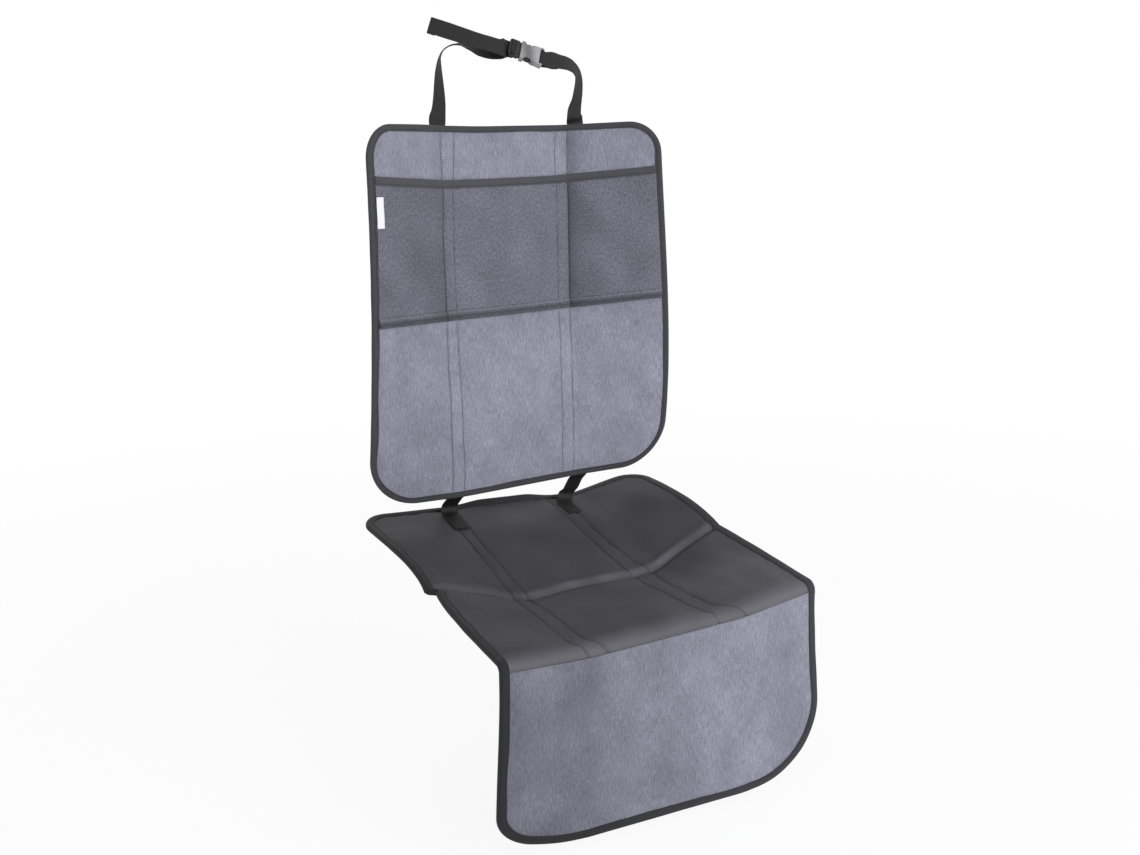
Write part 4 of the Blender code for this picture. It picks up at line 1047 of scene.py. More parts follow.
def adjuster_stations():
    """The strap's way through the plug: in from behind, over the bar, and out behind the end bar."""
    left, outer_slot, bar, inner_slot, body = plug_slots()
    top = PLUG_BAR_THICKNESS / 2.0
    rear = -PLUG_THICKNESS / 2.0
    loaded = rear - 2.0 * WEBBING - 3.0 * STRAP_SPARE
    slot_middle = (inner_slot + body) / 2.0
    stations = [in_buckle(left, loaded), in_buckle(bar, loaded)]
    stations += [in_buckle(inner_slot + 0.0006, loaded + 0.0010), in_buckle(slot_middle, rear)]
    stations += round_corner(inner_slot, top, 1.0)
    stations += reversed(round_corner(bar, top, -1.0))
    stations += round_corner(outer_slot, rear, 1.0)
    return stations + [in_buckle(left, rear - WEBBING / 2.0 - STRAP_SPARE)]


def folded_end(before, last):
    """Stations that fold a strap's end back on itself, behind it."""
    place, across = last
    along = (place - before[0]).normalized()
    across = (across - along * across.dot(along)).normalized()
    behind = along.cross(across)
    layers = WEBBING + GAP
    turn = [(0.35, 0.15), (0.50, 0.50), (0.35, 0.85), (0.0, 1.0)]
    fold = [(place + along * layers * out + behind * layers * back, across) for out, back in turn]
    return fold + [(place - along * TAIL_HEM + behind * layers, across)]


def left_strap_stations():
    """From the back panel's left, round in a loop, through the plug, and out as a free tail."""
    start = strap_start(-1.0)
    end = in_buckle(-BUCKLE_LENGTH / 2.0, 0.0)[0]
    stations = strap_base(-1.0) + between(start, end, LEFT_ROUTE) + adjuster_stations()
    return stations + [(end + Vector(row[:3]), Vector(row[3:])) for row in TAIL_ROUTE]


def right_strap_stations():
    """From the sewn fold, through the socket and back, and down to the back panel's right."""
    start = strap_start(1.0)
    tip = BUCKLE_LENGTH / 2.0
    end = in_buckle(tip, 0.0)[0]
    bar = tip - SOCKET_END_BAR
    face = SOCKET_BAR_THICKNESS / 2.0
    layer = (WEBBING + GAP) / 2.0
    doubled = [in_buckle(tip + 0.0050, 0.0)] + between(start, end, DOUBLED_ROUTE)
    front_layer, rear_layer = [], []
    for (place, across), travel in zip(doubled, headings(doubled)):
        out = travel.cross(across).normalized() * layer
        front_layer.append((place + out, across))
        rear_layer.append((place - out, across))
    stations = rear_layer[::-1] + [in_buckle(tip, -face - WEBBING / 2.0 - STRAP_SPARE)]
    stations += reversed(round_corner(bar, -face, -1.0))
    stations += round_corner(bar, face, -1.0)
    stations += [in_buckle(tip, face + WEBBING / 2.0 + STRAP_SPARE)] + front_layer
    return stations + between(start, end, RIGHT_ROUTE) + strap_base(1.0)[::-1]


def joining_strap_stations(side):
    """From behind the back panel, out in a bow, and forward onto the seat."""
    upper = side * of_side(side, JOINING_STRAP_UPPER)
    lower = side * of_side(side, JOINING_STRAP_LOWER)
    bow = of_side(side, JOINING_STRAP_BOWS)
    behind = strap_backing() - JOINING_STRAP_LIFT
    over = SEAT_THICKNESS / 2.0 + GAP + WEBBING / 2.0 + JOINING_STRAP_REST
    ups = (JOINING_STRAP_SEWN, JOINING_STRAP_SEWN / 2.0, JOINING_STRAP_HUNG + 0.006, JOINING_STRAP_HUNG)
    stations = [BACK.station(upper, up, behind) for up in ups]
    edge, hung = stations[-1]
    touch, level = SEAT.station(lower, of_side(side, JOINING_STRAP_TOUCH), over + 0.0007)
    for step, (back, down) in enumerate(bow, 1):
        share = step / (len(bow) + 1)
        place = Vector((edge.x + (touch.x - edge.x) * share, edge.y + back, edge.z - down))
        stations.append((place, hung.lerp(level, share).normalized()))
    stations.append((touch, level))
    flat = (JOINING_STRAP_LAND, (JOINING_STRAP_LAND + JOINING_STRAP_END) / 2.0, JOINING_STRAP_END)
    return stations + [SEAT.station(lower, along, over) for along in flat]


# Stitches. The runs lie on the cloths' faces.

def sewn_runs(name, runs):
    """Stitches as short bent threads. Each run is a list of places with the way out of the cloth."""
    looks = bpy.context.scene.mat_looks
    curve = bpy.data.curves.new(name, "CURVE")
    curve.dimensions = "3D"
    curve.bevel_depth = looks.thread / 2.0
    curve.bevel_resolution = 1
    curve.use_fill_caps = True
    pitch = looks.stitch_length * 1.25
    for places, outs in runs:
        places, outs = np.asarray(places, float), np.asarray(outs, float)
        travel = np.concatenate([[0.0], np.cumsum(np.linalg.norm(np.diff(places, axis=0), axis=1))])
        for start in np.arange(0.0, travel[-1] - looks.stitch_length, pitch):
            spline = curve.splines.new("POLY")
            spline.points.add(3)
            for point, (share, rise) in zip(spline.points, STITCH_BEND):
                spot = start + share * looks.stitch_length
                centre = [np.interp(spot, travel, places[:, axis]) for axis in range(3)]
                out = [np.interp(spot, travel, outs[:, axis]) for axis in range(3)]
                point.co = (*(np.array(centre) + np.array(out) * rise * looks.thread), 1.0)
    holder = link(name, curve)
    mesh = worked_out(holder)
    bpy.data.objects.remove(holder)
    bpy.data.curves.remove(curve)
    mesh.name = name
    mesh.shade_smooth()
    return link(name, mesh)


def run_on(sheet, across, along, height):
    """A run of stitches over a panel."""
    across, along, height = np.broadcast_arrays(across, along, height)
    return sheet.point(across, along, height), sheet.normal(across.astype(float), along.astype(float))


def edge_run(sheet, depth, side):
    """A run of stitches round a panel's edge tape."""
    outline = outline_of(sheet)
    outline = np.concatenate([outline, outline[:1]])
    across = outline[:, 0] + outline[:, 2] * depth
    along = outline[:, 1] + outline[:, 3] * depth
    height = sheet.thickness / 2.0 + TAPE + 0.0002
    places = sheet.point(across, along, side * height)
    return places, sheet.normal(across, along) * side


def box_run(centre_line, half_width, start, end, height, sheet):
    """A run of stitches round a strap's sewn end."""
    corners = [(-1.0, start), (1.0, start), (1.0, end), (-1.0, end), (-1.0, start)]
    across, along = [], []
    for (side, level), (next_side, next_level) in zip(corners, corners[1:]):
        across += spaced(centre_line + side * half_width, centre_line + next_side * half_width, 12)
        along += spaced(level, next_level, 12)
    return run_on(sheet, np.array(across), np.array(along), height)


# Buckle

def box(low, high):
    """A box between two corners."""
    bm = bmesh.new()
    bmesh.ops.create_cube(bm, size=1.0)
    bmesh.ops.scale(bm, vec=[top - bottom for bottom, top in zip(low, high)], verts=bm.verts)
    bmesh.ops.translate(bm, vec=[(top + bottom) / 2.0 for bottom, top in zip(low, high)], verts=bm.verts)
    return bm


def plate(outline, half_thickness):
    """A flat plate from the upper half of its outline, mirrored across the buckle's length."""
    bm = bmesh.new()
    points = outline + [(x, -y) for x, y in reversed(outline)]
    face = bm.faces.new([bm.verts.new((x, y, -half_thickness)) for x, y in points])
    moved = bmesh.ops.extrude_face_region(bm, geom=[face])["geom"]
    top = [item for item in moved if isinstance(item, bmesh.types.BMVert)]
    bmesh.ops.translate(bm, vec=(0.0, 0.0, 2.0 * half_thickness), verts=top)
    return bm


def thinned(start, end, half_width, face, above):
    """Cuts that thin a bar down to its upper and lower face."""
    levels = ((face, above), (-above, -face))
    return [box((start, -half_width, low), (end, half_width, high)) for low, high in levels]


def solid(name, bm):
    """An object from a closed bmesh, with its faces turned outwards."""
    bmesh.ops.recalc_face_normals(bm, faces=bm.faces)
    return link(name, mesh_from(name, bm))


def moulded(name, body, cuts, softening):
    """A moulded piece: a plate with boxes cut out of it and its edges softened."""
    piece = solid(name + "_blank", body)
    cutters = []
    for number, bm in enumerate(cuts):
        cutter = solid(f"{name}_cut_{number}", bm)
        boolean = piece.modifiers.new(f"cut_{number}", "BOOLEAN")
        boolean.operation = "DIFFERENCE"
        boolean.solver = "EXACT"
        boolean.object = cutter
        cutters.append(cutter)
    bevel = piece.modifiers.new("softening", "BEVEL")
    bevel.width = softening
    bevel.segments = 2
    bevel.limit_method = "ANGLE"
    bevel.angle_limit = math.radians(40.0)
    mesh = worked_out(piece)
    for spare in (piece, *cutters):
        bpy.data.objects.remove(spare)
    mesh.transform(buckle_frame())
    mesh.shade_smooth()
    mesh.set_sharp_from_angle(angle=math.radians(35.0))
    return link(name, mesh)


def plug_parts():
    """The plug's plate with its two arms, and what is cut out of it."""
    left, outer_slot, bar, inner_slot, body = plug_slots()
    half = BUCKLE_WIDTH / 2.0
    mouth = left + PLUG_REACH
    tip = mouth + ARM_LENGTH
    arm = half - SOCKET_WALL - ARM_SPARE
    inner = arm - ARM_WIDTH
    tongue = inner * 0.4
    outline = [
        (left, half - 0.0025), (left + 0.0015, half - 0.0006), (left + 0.0030, half),
        (mouth - 0.0030, half), (mouth - 0.0010, arm), (mouth + 0.0070, arm), (mouth + 0.0085, half - 0.0004),
        (mouth + 0.0130, half - 0.0004), (tip, arm - 0.0012), (tip, inner + 0.0006),
        (mouth + 0.0090, inner), (mouth + 0.0010, inner), (mouth + 0.0010, tongue), (tip - 0.0030, tongue),
    ]
    slot = WEBBING_WIDTH / 2.0 + SLOT_SPARE
    above = PLUG_THICKNESS
    slots = ((outer_slot, bar), (inner_slot, body))
    cuts = [box((start, -slot, -above), (end, slot, above)) for start, end in slots]
    overlap = PLUG_SLOT / 4.0
    cuts += thinned(bar - overlap, inner_slot + overlap, slot, PLUG_BAR_THICKNESS / 2.0, above)
    return plate(outline, PLUG_THICKNESS / 2.0), cuts


def socket_parts():
    """The socket's waisted plate, and what is cut out of it."""
    half = BUCKLE_WIDTH / 2.0
    mouth = -BUCKLE_LENGTH / 2.0 + PLUG_REACH
    end = BUCKLE_LENGTH / 2.0
    bar = end - SOCKET_END_BAR
    slot_start = bar - SOCKET_SLOT
    waist = half - 0.0045
    outline = [
        (mouth, half - 0.0010), (mouth + 0.0010, half), (mouth + 0.0045, half),
        (mouth + 0.0070, waist + 0.0010), (mouth + 0.0100, waist), (mouth + 0.0135, waist + 0.0010),
        (mouth + 0.0170, half - 0.0008), (slot_start, half - 0.0004), (end - 0.0025, half + 0.0004),
        (end, half - 0.0012),
    ]
    inside = PLUG_THICKNESS / 2.0 + ARM_SPARE
    room = half - SOCKET_WALL
    deep = mouth + ARM_LENGTH + ARM_SPARE
    cuts = [box((mouth - 0.0010, -room, -inside), (deep, room, inside))]
    cuts.append(box((mouth + 0.0065, -2.0 * half, -inside), (mouth + 0.0140, 2.0 * half, inside)))
    slot = WEBBING_WIDTH / 2.0 + SLOT_SPARE
    above = BUCKLE_THICKNESS
    cuts.append(box((slot_start, -slot, -above), (bar, slot, above)))
    cuts += thinned(bar - 0.0005, end + 0.0010, slot, SOCKET_BAR_THICKNESS / 2.0, above)
    return plate(outline, BUCKLE_THICKNESS / 2.0), cuts


# Finishes

class Wire:
    """A socket of a shader node that takes part in Python arithmetic."""

    def __init__(self, finish, socket):
        self.finish = finish
        self.socket = socket

    def _with(self, operation, first, second):
        """A math node over two numbers or wires."""
        return self.finish.node("ShaderNodeMath", {"operation": operation}, {0: first, 1: second})

    def __add__(self, other):
        return self._with("ADD", self, other)

    def __sub__(self, other):
        return self._with("SUBTRACT", self, other)

    def __rsub__(self, other):
        return self._with("SUBTRACT", other, self)

    def __mul__(self, other):
        return self._with("MULTIPLY", self, other)

    def __gt__(self, other):
        return self._with("GREATER_THAN", self, other)

    __radd__ = __add__
    __rmul__ = __mul__

    def waves(self, length):
        """A sine over this coordinate, from 0 to 1, of the given wavelength."""
        return self._with("SINE", self * (2.0 * math.pi / length), 0.0) * 0.5 + 0.5


class Finish:
    """A material whose nodes are added one by one."""

    def __init__(self, name, roughness, **sockets):
        self.material = bpy.data.materials.new(name)
        self.material.use_nodes = True
        self.tree = self.material.node_tree
        self.shader = self.tree.nodes["Principled BSDF"]
        self.shader.inputs["Roughness"].default_value = roughness
        for socket, value in sockets.items():
            self.shader.inputs[socket.replace("_", " ").title()].default_value = value

    def node(self, kind, settings=None, values=None, output=0):
        """Add a node, with its settings first and then its sockets' values or links."""
        made = self.tree.nodes.new(kind)
        for setting, value in (settings or {}).items():
            if setting == "stops":
                ramp = made.color_ramp.elements
                while len(ramp) < len(value):
                    ramp.new(0.5)
                for stop, (place, colour) in zip(ramp, value):
                    stop.position = place
                    stop.color = (*colour, 1.0)
            else:
                setattr(made, setting, value)
        for socket, value in (values or {}).items():
            self.join(made.inputs[socket], value)
        return Wire(self, made.outputs[output])

    def join(self, socket, value):
        """Link a wire to a socket, or set the socket's value."""
        if isinstance(value, Wire):
            self.tree.links.new(value.socket, socket)
        else:
            socket.default_value = value

    def flat(self):
        """The cloth's own flat coordinates, in metres."""
        return self.node("ShaderNodeAttribute", {"attribute_name": "flat"}, output=1)

    def parts(self, vector):
        """A vector's three parts."""
        made = self.tree.nodes.new("ShaderNodeSeparateXYZ")
        self.join(made.inputs[0], vector)
        return [Wire(self, output) for output in made.outputs]

    def noise(self, vector, scale, stretch=(1.0, 1.0, 1.0), detail=2.0):
        """Noise over stretched coordinates, with about scale bumps in a metre."""
        scaled = self.node(
            "ShaderNodeVectorMath", {"operation": "MULTIPLY"},
            {0: vector, 1: [scale * share for share in stretch]},
        )
        return self.node("ShaderNodeTexNoise", values={"Vector": scaled, "Scale": 1.0, "Detail": detail})

    def blend(self, share, first, second):
        """A colour between two colours."""
        first, second = [value if isinstance(value, Wire) else (*value[:3], 1.0) for value in (first, second)]
        return self.node("ShaderNodeMix", {"data_type": "RGBA"}, {0: share, 6: first, 7: second}, output=2)

    def shaded(self, share, colour, dark, light):
        """A blend between a darker and a lighter shade of one colour."""
        return self.blend(share, darker(colour, dark), darker(colour, light))

    def ramp(self, share, stops):
        """A colour from a ramp of places and colours."""
        return self.node("ShaderNodeValToRGB", {"stops": stops}, {0: share})

    def tone(self):
        """The piece's tone and its painted light and shade, as stored on its points."""
        return self.node("ShaderNodeAttribute", {"attribute_name": "tone"}, output=2)

    def scaled(self, colour, share):
        """A colour times a share."""
        return self.node("ShaderNodeVectorMath", {"operation": "SCALE"}, {0: colour, 3: share})

    def colour(self, value):
        """Set the base colour."""
        self.join(self.shader.inputs["Base Color"], value)

    def roughness(self, value):
        """Set the roughness."""
        self.join(self.shader.inputs["Roughness"], value)

    def bump(self, height, distance, strength):
        """Raise the surface by a pattern, over a distance in metres."""
        values = {"Height": height, "Distance": distance, "Strength": strength}
        self.join(self.shader.inputs["Normal"], self.node("ShaderNodeBump", values=values))


def darker(colour, share):
    """A colour made darker, or lighter where the share is over 1."""
    return tuple(part * share for part in colour[:3])


def melange():
    """Melange cloth: fine light and dark yarns, mostly along the panel."""
    looks = bpy.context.scene.mat_looks
    finish = Finish("melange", 0.92, sheen_weight=0.15, sheen_roughness=0.5)
    flat = finish.flat()
    warp = finish.noise(flat, 1300.0, (1.0, 0.14, 0.0))
    slubs = finish.noise(flat, 560.0, (1.0, 0.16, 0.0), 3.0)
    flecks = finish.noise(flat, 600.0, (0.8, 1.0, 0.0), 3.0)
    clouds = finish.noise(flat, 40.0, (1.0, 0.6, 0.0), 3.0)
    yarns = warp * 0.26 + slubs * 0.38 + flecks * 0.36
    colour = finish.ramp(yarns, [
        (0.36, darker(looks.heather, 0.64)), (0.47, darker(looks.heather, 0.90)),
        (0.53, darker(looks.heather, 1.05)), (0.66, darker(looks.heather, 1.48)),
    ])
    # The stored tone and painted light and shade lighten or darken the colour.
    finish.colour(finish.scaled(colour, finish.tone() * (clouds * 0.50 + 0.75)))
    across, along, _ = finish.parts(flat)
    weave = across.waves(0.0011) * along.waves(0.0011) + warp * 0.6
    finish.bump(weave, 0.00022, 0.6)
    return finish.material


def open_mesh():
    """A dark open mesh over the melange cloth."""
    looks = bpy.context.scene.mat_looks
    finish = Finish("open_mesh", 0.85, sheen_weight=0.1)
    flat = finish.flat()
    across, along, _ = finish.parts(flat)
    holes = (across + along * 0.5).waves(0.0019) * (across - along * 0.5).waves(0.0019)
    slubs = finish.noise(flat, 560.0, (1.0, 0.35, 0.0), 3.0)
    flecks = finish.noise(flat, 360.0, (1.0, 1.0, 0.0), 3.0)
    clouds = finish.noise(flat, 34.0, (1.0, 0.7, 0.0), 3.0)
    lines = along.waves(0.0034) * 0.10
    share = holes * 0.45 + lines + (slubs + flecks) * 1.5 - 1.35
    colour = finish.shaded(share, looks.mesh, 0.66, 1.50)
    # The stored tone and painted light and shade lighten or darken the colour.
    finish.colour(finish.scaled(colour, finish.tone() * (clouds * 0.36 + 0.84)))
    finish.bump(1.0 - holes, 0.00025, 0.5)
    return finish.material


def leatherette():
    """Grained imitation leather with a soft shine."""
    looks = bpy.context.scene.mat_looks
    finish = Finish("leatherette", 0.46)
    flat = finish.flat()
    grain = finish.node(
        "ShaderNodeTexVoronoi", {"feature": "SMOOTH_F1"},
        {"Vector": flat, "Scale": 950.0, "Smoothness": 0.6},
    )
    fine = finish.noise(flat, 1500.0, (1.0, 1.0, 0.0), 2.0)
    clouds = finish.noise(flat, 34.0, (1.0, 1.0, 0.0), 3.0)
    specks = finish.noise(flat, 420.0, (1.0, 1.0, 0.0), 3.0)
    colour = finish.shaded(clouds * 0.5 + specks * 0.5, looks.leatherette, 0.70, 1.30)
    # The stored tone and painted light and shade lighten or darken the colour.
    finish.colour(finish.scaled(colour, finish.tone()))
    finish.roughness(grain * 0.10 + clouds * 0.08 + 0.52)
    finish.bump(grain * 0.7 + fine * 0.3, 0.00014, 0.5)
    return finish.material


def ribbed_tape():
    """Edge tape with fine ribs across it."""
    looks = bpy.context.scene.mat_looks
    finish = Finish("ribbed_tape", 0.78, sheen_weight=0.1)
    flat = finish.flat()
    travel, width_place, _ = finish.parts(flat)
    ribs = travel.waves(0.00105) * 0.7 + width_place.waves(0.0007) * 0.3
    wear = finish.noise(flat, 130.0, (1.0, 1.0, 0.0), 3.0)
    colour = finish.shaded(ribs * 0.5 + wear * 0.5, looks.tape, 0.66, 1.36)
    # The stored tone and painted light and shade lighten or darken the colour.
    finish.colour(finish.scaled(colour, finish.tone()))
    finish.shader.inputs["Specular IOR Level"].default_value = 0.35
    finish.bump(ribs, 0.00020, 0.5)
    return finish.material


def strap_webbing():
    """Tight plain weave webbing, with its yarns in short steps."""
    looks = bpy.context.scene.mat_looks
    finish = Finish("strap_webbing", 0.55)
    flat = finish.flat()
    across, along, _ = finish.parts(flat)
    warp, weft = across.waves(0.0017), along.waves(0.0022)
    yarns = warp * weft + (1.0 - warp) * (1.0 - weft)
    fuzz = finish.noise(flat, 900.0, (1.0, 0.4, 0.0), 2.0)
    finish.shader.inputs["Specular IOR Level"].default_value = 0.35
    finish.colour(finish.shaded(yarns * 0.7 + fuzz * 0.3, looks.webbing, 0.55, 1.45))
    finish.bump(yarns, 0.00028, 0.6)
    return finish.material


def backing_cloth():
    """The slip-resisting rear cloth: dark, with small raised dots."""
    looks = bpy.context.scene.mat_looks
    finish = Finish("backing_cloth", 0.8)
    flat = finish.flat()
    across, along, _ = finish.parts(flat)
    dots = (across.waves(0.0042) * along.waves(0.0042)) > 0.62
    fuzz = finish.noise(flat, 500.0, (1.0, 1.0, 0.0), 2.0)
    colour = finish.shaded(fuzz, looks.leatherette, 0.55, 1.0)
    finish.colour(finish.blend(dots, colour, darker(looks.leatherette, 0.35)))
    finish.bump(dots + fuzz * 0.2, 0.0003, 0.6)
    return finish.material


def moulded_plastic(name, colour, roughness, painted_highlight_share=0.0):
    """Moulded plastic, hazy and faintly pitted, with painted highlights in lighter and darker bands along it.
    """
    finish = Finish(name, roughness)
    place = finish.node("ShaderNodeTexCoord", output=3)
    haze = finish.noise(place, 260.0, detail=2.0)
    spark = finish.noise(place, 2600.0, detail=1.0)
    across, _, up = finish.parts(place)
    # Painted highlights in light and dark bands along the part, over the random haze.
    haze_and_painted_highlights = (across - up * 0.35).waves(0.030) * painted_highlight_share + haze * (1.0 - painted_highlight_share)
    finish.colour(finish.shaded(haze_and_painted_highlights, colour, 0.9 - 0.45 * painted_highlight_share, 1.12 + 0.75 * painted_highlight_share))
    finish.roughness(haze * 0.12 + (roughness - 0.06))
    finish.bump(spark, 0.00004, 0.25)
    return finish.material


def plug_plastic():
    """The plug's black plastic."""
    return moulded_plastic("plug_plastic", (0.022, 0.022, 0.024), 0.32)


def socket_plastic():
    """The socket's plastic, with painted highlights along it."""
    return moulded_plastic("socket_plastic", (0.235, 0.235, 0.240), 0.30, painted_highlight_share=0.8)


def sewing_thread():
    """Dark twisted thread."""
    looks = bpy.context.scene.mat_looks
    finish = Finish("sewing_thread", 0.6)
    place = finish.node("ShaderNodeTexCoord", output=3)
    twist = finish.noise(place, 2400.0, detail=1.0)
    finish.colour(finish.shaded(twist, looks.thread_colour, 0.7, 1.4))
    return finish.material


def bare_satin():
    """The label's pale woven satin."""
    finish = Finish("bare_satin", 0.55, sheen_weight=0.2)
    flat = finish.flat()
    across, along, _ = finish.parts(flat)
    weave = along.waves(0.0006) * 0.6 + across.waves(0.0005) * 0.4
    finish.colour(finish.blend(weave, (0.76, 0.76, 0.82), (0.90, 0.90, 0.94)))
    finish.bump(weave, 0.0001, 0.4)
    return finish.material


def finish_made(make):
    """The material a finish makes, made once. It has the name of its function."""
    return bpy.data.materials.get(make.__name__) or make()


# Properties and operators

class MatLooks(bpy.types.PropertyGroup):
    """Sizes and colours of the mat that a user would change."""

    back_puff: bpy.props.FloatProperty(
        name="Back puff", description="How far the back panel's padding stands proud",
        default=0.0012, unit="LENGTH",
    )
    seat_puff: bpy.props.FloatProperty(
        name="Seat puff", description="How far the seat pad's padding stands proud",
        default=0.0020, unit="LENGTH",
    )
    flap_puff: bpy.props.FloatProperty(
        name="Flap puff", description="How far the flap's padding stands proud",
        default=0.0014, unit="LENGTH",
    )
    pocket_bag: bpy.props.FloatProperty(
        name="Pocket bag", description="How far the pockets bag out",
        default=0.0024, unit="LENGTH",
    )
    wrinkle: bpy.props.FloatProperty(
        name="Wrinkles", description="Height of the soft wrinkles",
        default=0.0008, unit="LENGTH",
    )
    fold_lip: bpy.props.FloatProperty(
        name="Fold lip", description="Height of the lip above the seat's cross fold",
        default=0.0034, unit="LENGTH",
    )
    stitch_length: bpy.props.FloatProperty(
        name="Stitch length", description="Length of one stitch",
        default=0.0032, unit="LENGTH",
    )
    thread: bpy.props.FloatProperty(
        name="Thread", description="Thickness of the sewing thread",
        default=0.0006, unit="LENGTH",
    )
    heather: bpy.props.FloatVectorProperty(
        name="Heather", description="Melange cloth",
        default=(0.243, 0.250, 0.315), size=3, subtype="COLOR",
    )
    mesh: bpy.props.FloatVectorProperty(
        name="Mesh", description="Pocket mesh",
        default=(0.146, 0.151, 0.188), size=3, subtype="COLOR",
    )
    leatherette: bpy.props.FloatVectorProperty(
        name="Leatherette", description="Seat pad",
        default=(0.049, 0.048, 0.056), size=3, subtype="COLOR",
    )
    tape: bpy.props.FloatVectorProperty(
        name="Tape", description="Edge and pocket tape",
        default=(0.047, 0.047, 0.056), size=3, subtype="COLOR",
    )
    webbing: bpy.props.FloatVectorProperty(
        name="Webbing", description="Straps",
        default=(0.0130, 0.0130, 0.0138), size=3, subtype="COLOR",
    )
    thread_colour: bpy.props.FloatVectorProperty(
        name="Thread colour", description="Sewing thread",
        default=(0.030, 0.030, 0.036), size=3, subtype="COLOR",
    )


class StageLooks(bpy.types.PropertyGroup):
    """Light and floor."""

    world_light: bpy.props.FloatProperty(
        name="World light", description="Even light from all sides",
        default=0.66, subtype="FACTOR",
    )
    key_light: bpy.props.FloatProperty(
        name="Key light", description="Power of the soft lamp",
        default=58.0, unit="POWER",
    )
    floor_level: bpy.props.FloatProperty(
        name="Floor level", description="Height of the floor",
        default=FLOOR_LEVEL, unit="LENGTH",
    )


class MAT_OT_back_panel(bpy.types.Operator):
    """Make the padded back panel and its edge tape"""

    bl_idname = "mat.back_panel"
    bl_label = "Back panel"

    def execute(self, context):
        inset = TAPE + GAP
        rows = rows_along(BACK, inset, BACK_HEIGHT - inset, inset)
        places = places_across(BACK, BACK_LINES, rows, inset)
        piece = padded_cloth("back_cloth", BACK, rows, places, back_relief, back_tone)
        place_piece(piece, [melange, backing_cloth], "heather_cloth", "back_panel")
        tape = edge_tape("back_edge_tape", BACK, 101)
        shade(tape, np.ones_like)
        place_piece(tape, [ribbed_tape], "binding_tape", "back_binding")
        return {"FINISHED"}


class MAT_OT_pockets(bpy.types.Operator):
    """Make the pocket cloth, the tape along its mouth and the side label"""

    bl_idname = "mat.pockets"
    bl_label = "Pockets"

    def execute(self, context):
        mouth = POCKET_MOUTH - TAPE - GAP
        hem = POCKET_BOTTOM + POCKET_HEM
        rows = spaced(POCKET_BOTTOM, hem, 10) + stepped(hem, mouth, GRID_STEP)[1:]
        places = places_across(BACK, BACK_LINES, rows, BACK_COVER + GAP)

        def inner(across, along):
            lift = pocket_relief(across, along) * eased((along - POCKET_BOTTOM - POCKET_HEM) / 0.02)
            return pocket_seat(along) + lift * eased((mouth - 0.010 - along) / 0.02)

        def outer(across, along):
            channel = to_channel(across, along)
            roll = hem_roll(along) * (1.0 - 0.45 * ridge(channel, 0.004))
            groove = 0.0005 * ridge(channel, 0.0012) * eased((along - POCKET_BOTTOM - POCKET_HEM) / 0.004)
            return inner(across, along) + POCKET_CLOTH + roll - groove

        piece = cloth_slab("pocket_cloth", BACK, rows, places, inner, outer, pocket_tone, pocket_shift)
        place_piece(piece, [open_mesh, open_mesh], "pocket_mesh", "pocket_panel")
        self.mouth_tape(places[-1])
        self.label()
        return {"FINISHED"}

    def mouth_tape(self, across):
        """The tape over the pocket's mouth, which dips a little at the channels."""
        profile, width_place = tape_profile(MOUTH_TAPE_COVER, POCKET_CLOTH / 2.0)
        middle = BACK_THICKNESS / 2.0 + 2.0 * GAP + TAPE + POCKET_CLOTH / 2.0 + 0.0004
        channel = to_channel(across, across * 0.0 + POCKET_MOUTH)
        mouth = POCKET_MOUTH + along_table(MOUTH_LINE, across) - MOUTH_DIP * ridge(channel, 0.012)
        along = mouth[:, None] - profile[None, :, 0]
        height = middle + profile[None, :, 1]
        rings = BACK.point(across[:, None], along, height)
        flat = np.stack(np.broadcast_arrays(across[:, None], width_place[None, :], height), -1)
        tape = swept("pocket_mouth_tape", rings, flat, False)
        shade(tape, lambda across: np.full_like(across, 1.35))
        place_piece(tape, [ribbed_tape], "binding_tape", "pocket_top_binding")

    def label(self):
        """The side label, sewn down at its left and curling a little at its right."""
        left = -(WIDTH / 2.0 - BACK_COVER)
        seat = BACK_THICKNESS / 2.0 + 3.0 * GAP + TAPE + POCKET_CLOTH + 0.0003
        rows = spaced(LABEL_TOP - LABEL_LENGTH, LABEL_TOP, 24)
        columns = np.array(spaced(left, left + LABEL_WIDTH, 8))
        places = np.broadcast_to(columns, (len(rows), len(columns)))

        def under(across, along):
            curl = eased((across - left) / LABEL_WIDTH) ** 2 * 0.0010
            return seat + curl + ripples(across, along, 91, 0.02) * 0.0001

        def over(across, along):
            return under(across, along) + LABEL_THICKNESS

        piece = cloth_slab("side_label_cloth", BACK, rows, places, under, over)
        place_piece(piece, [bare_satin, bare_satin], "label_satin", "side_label")


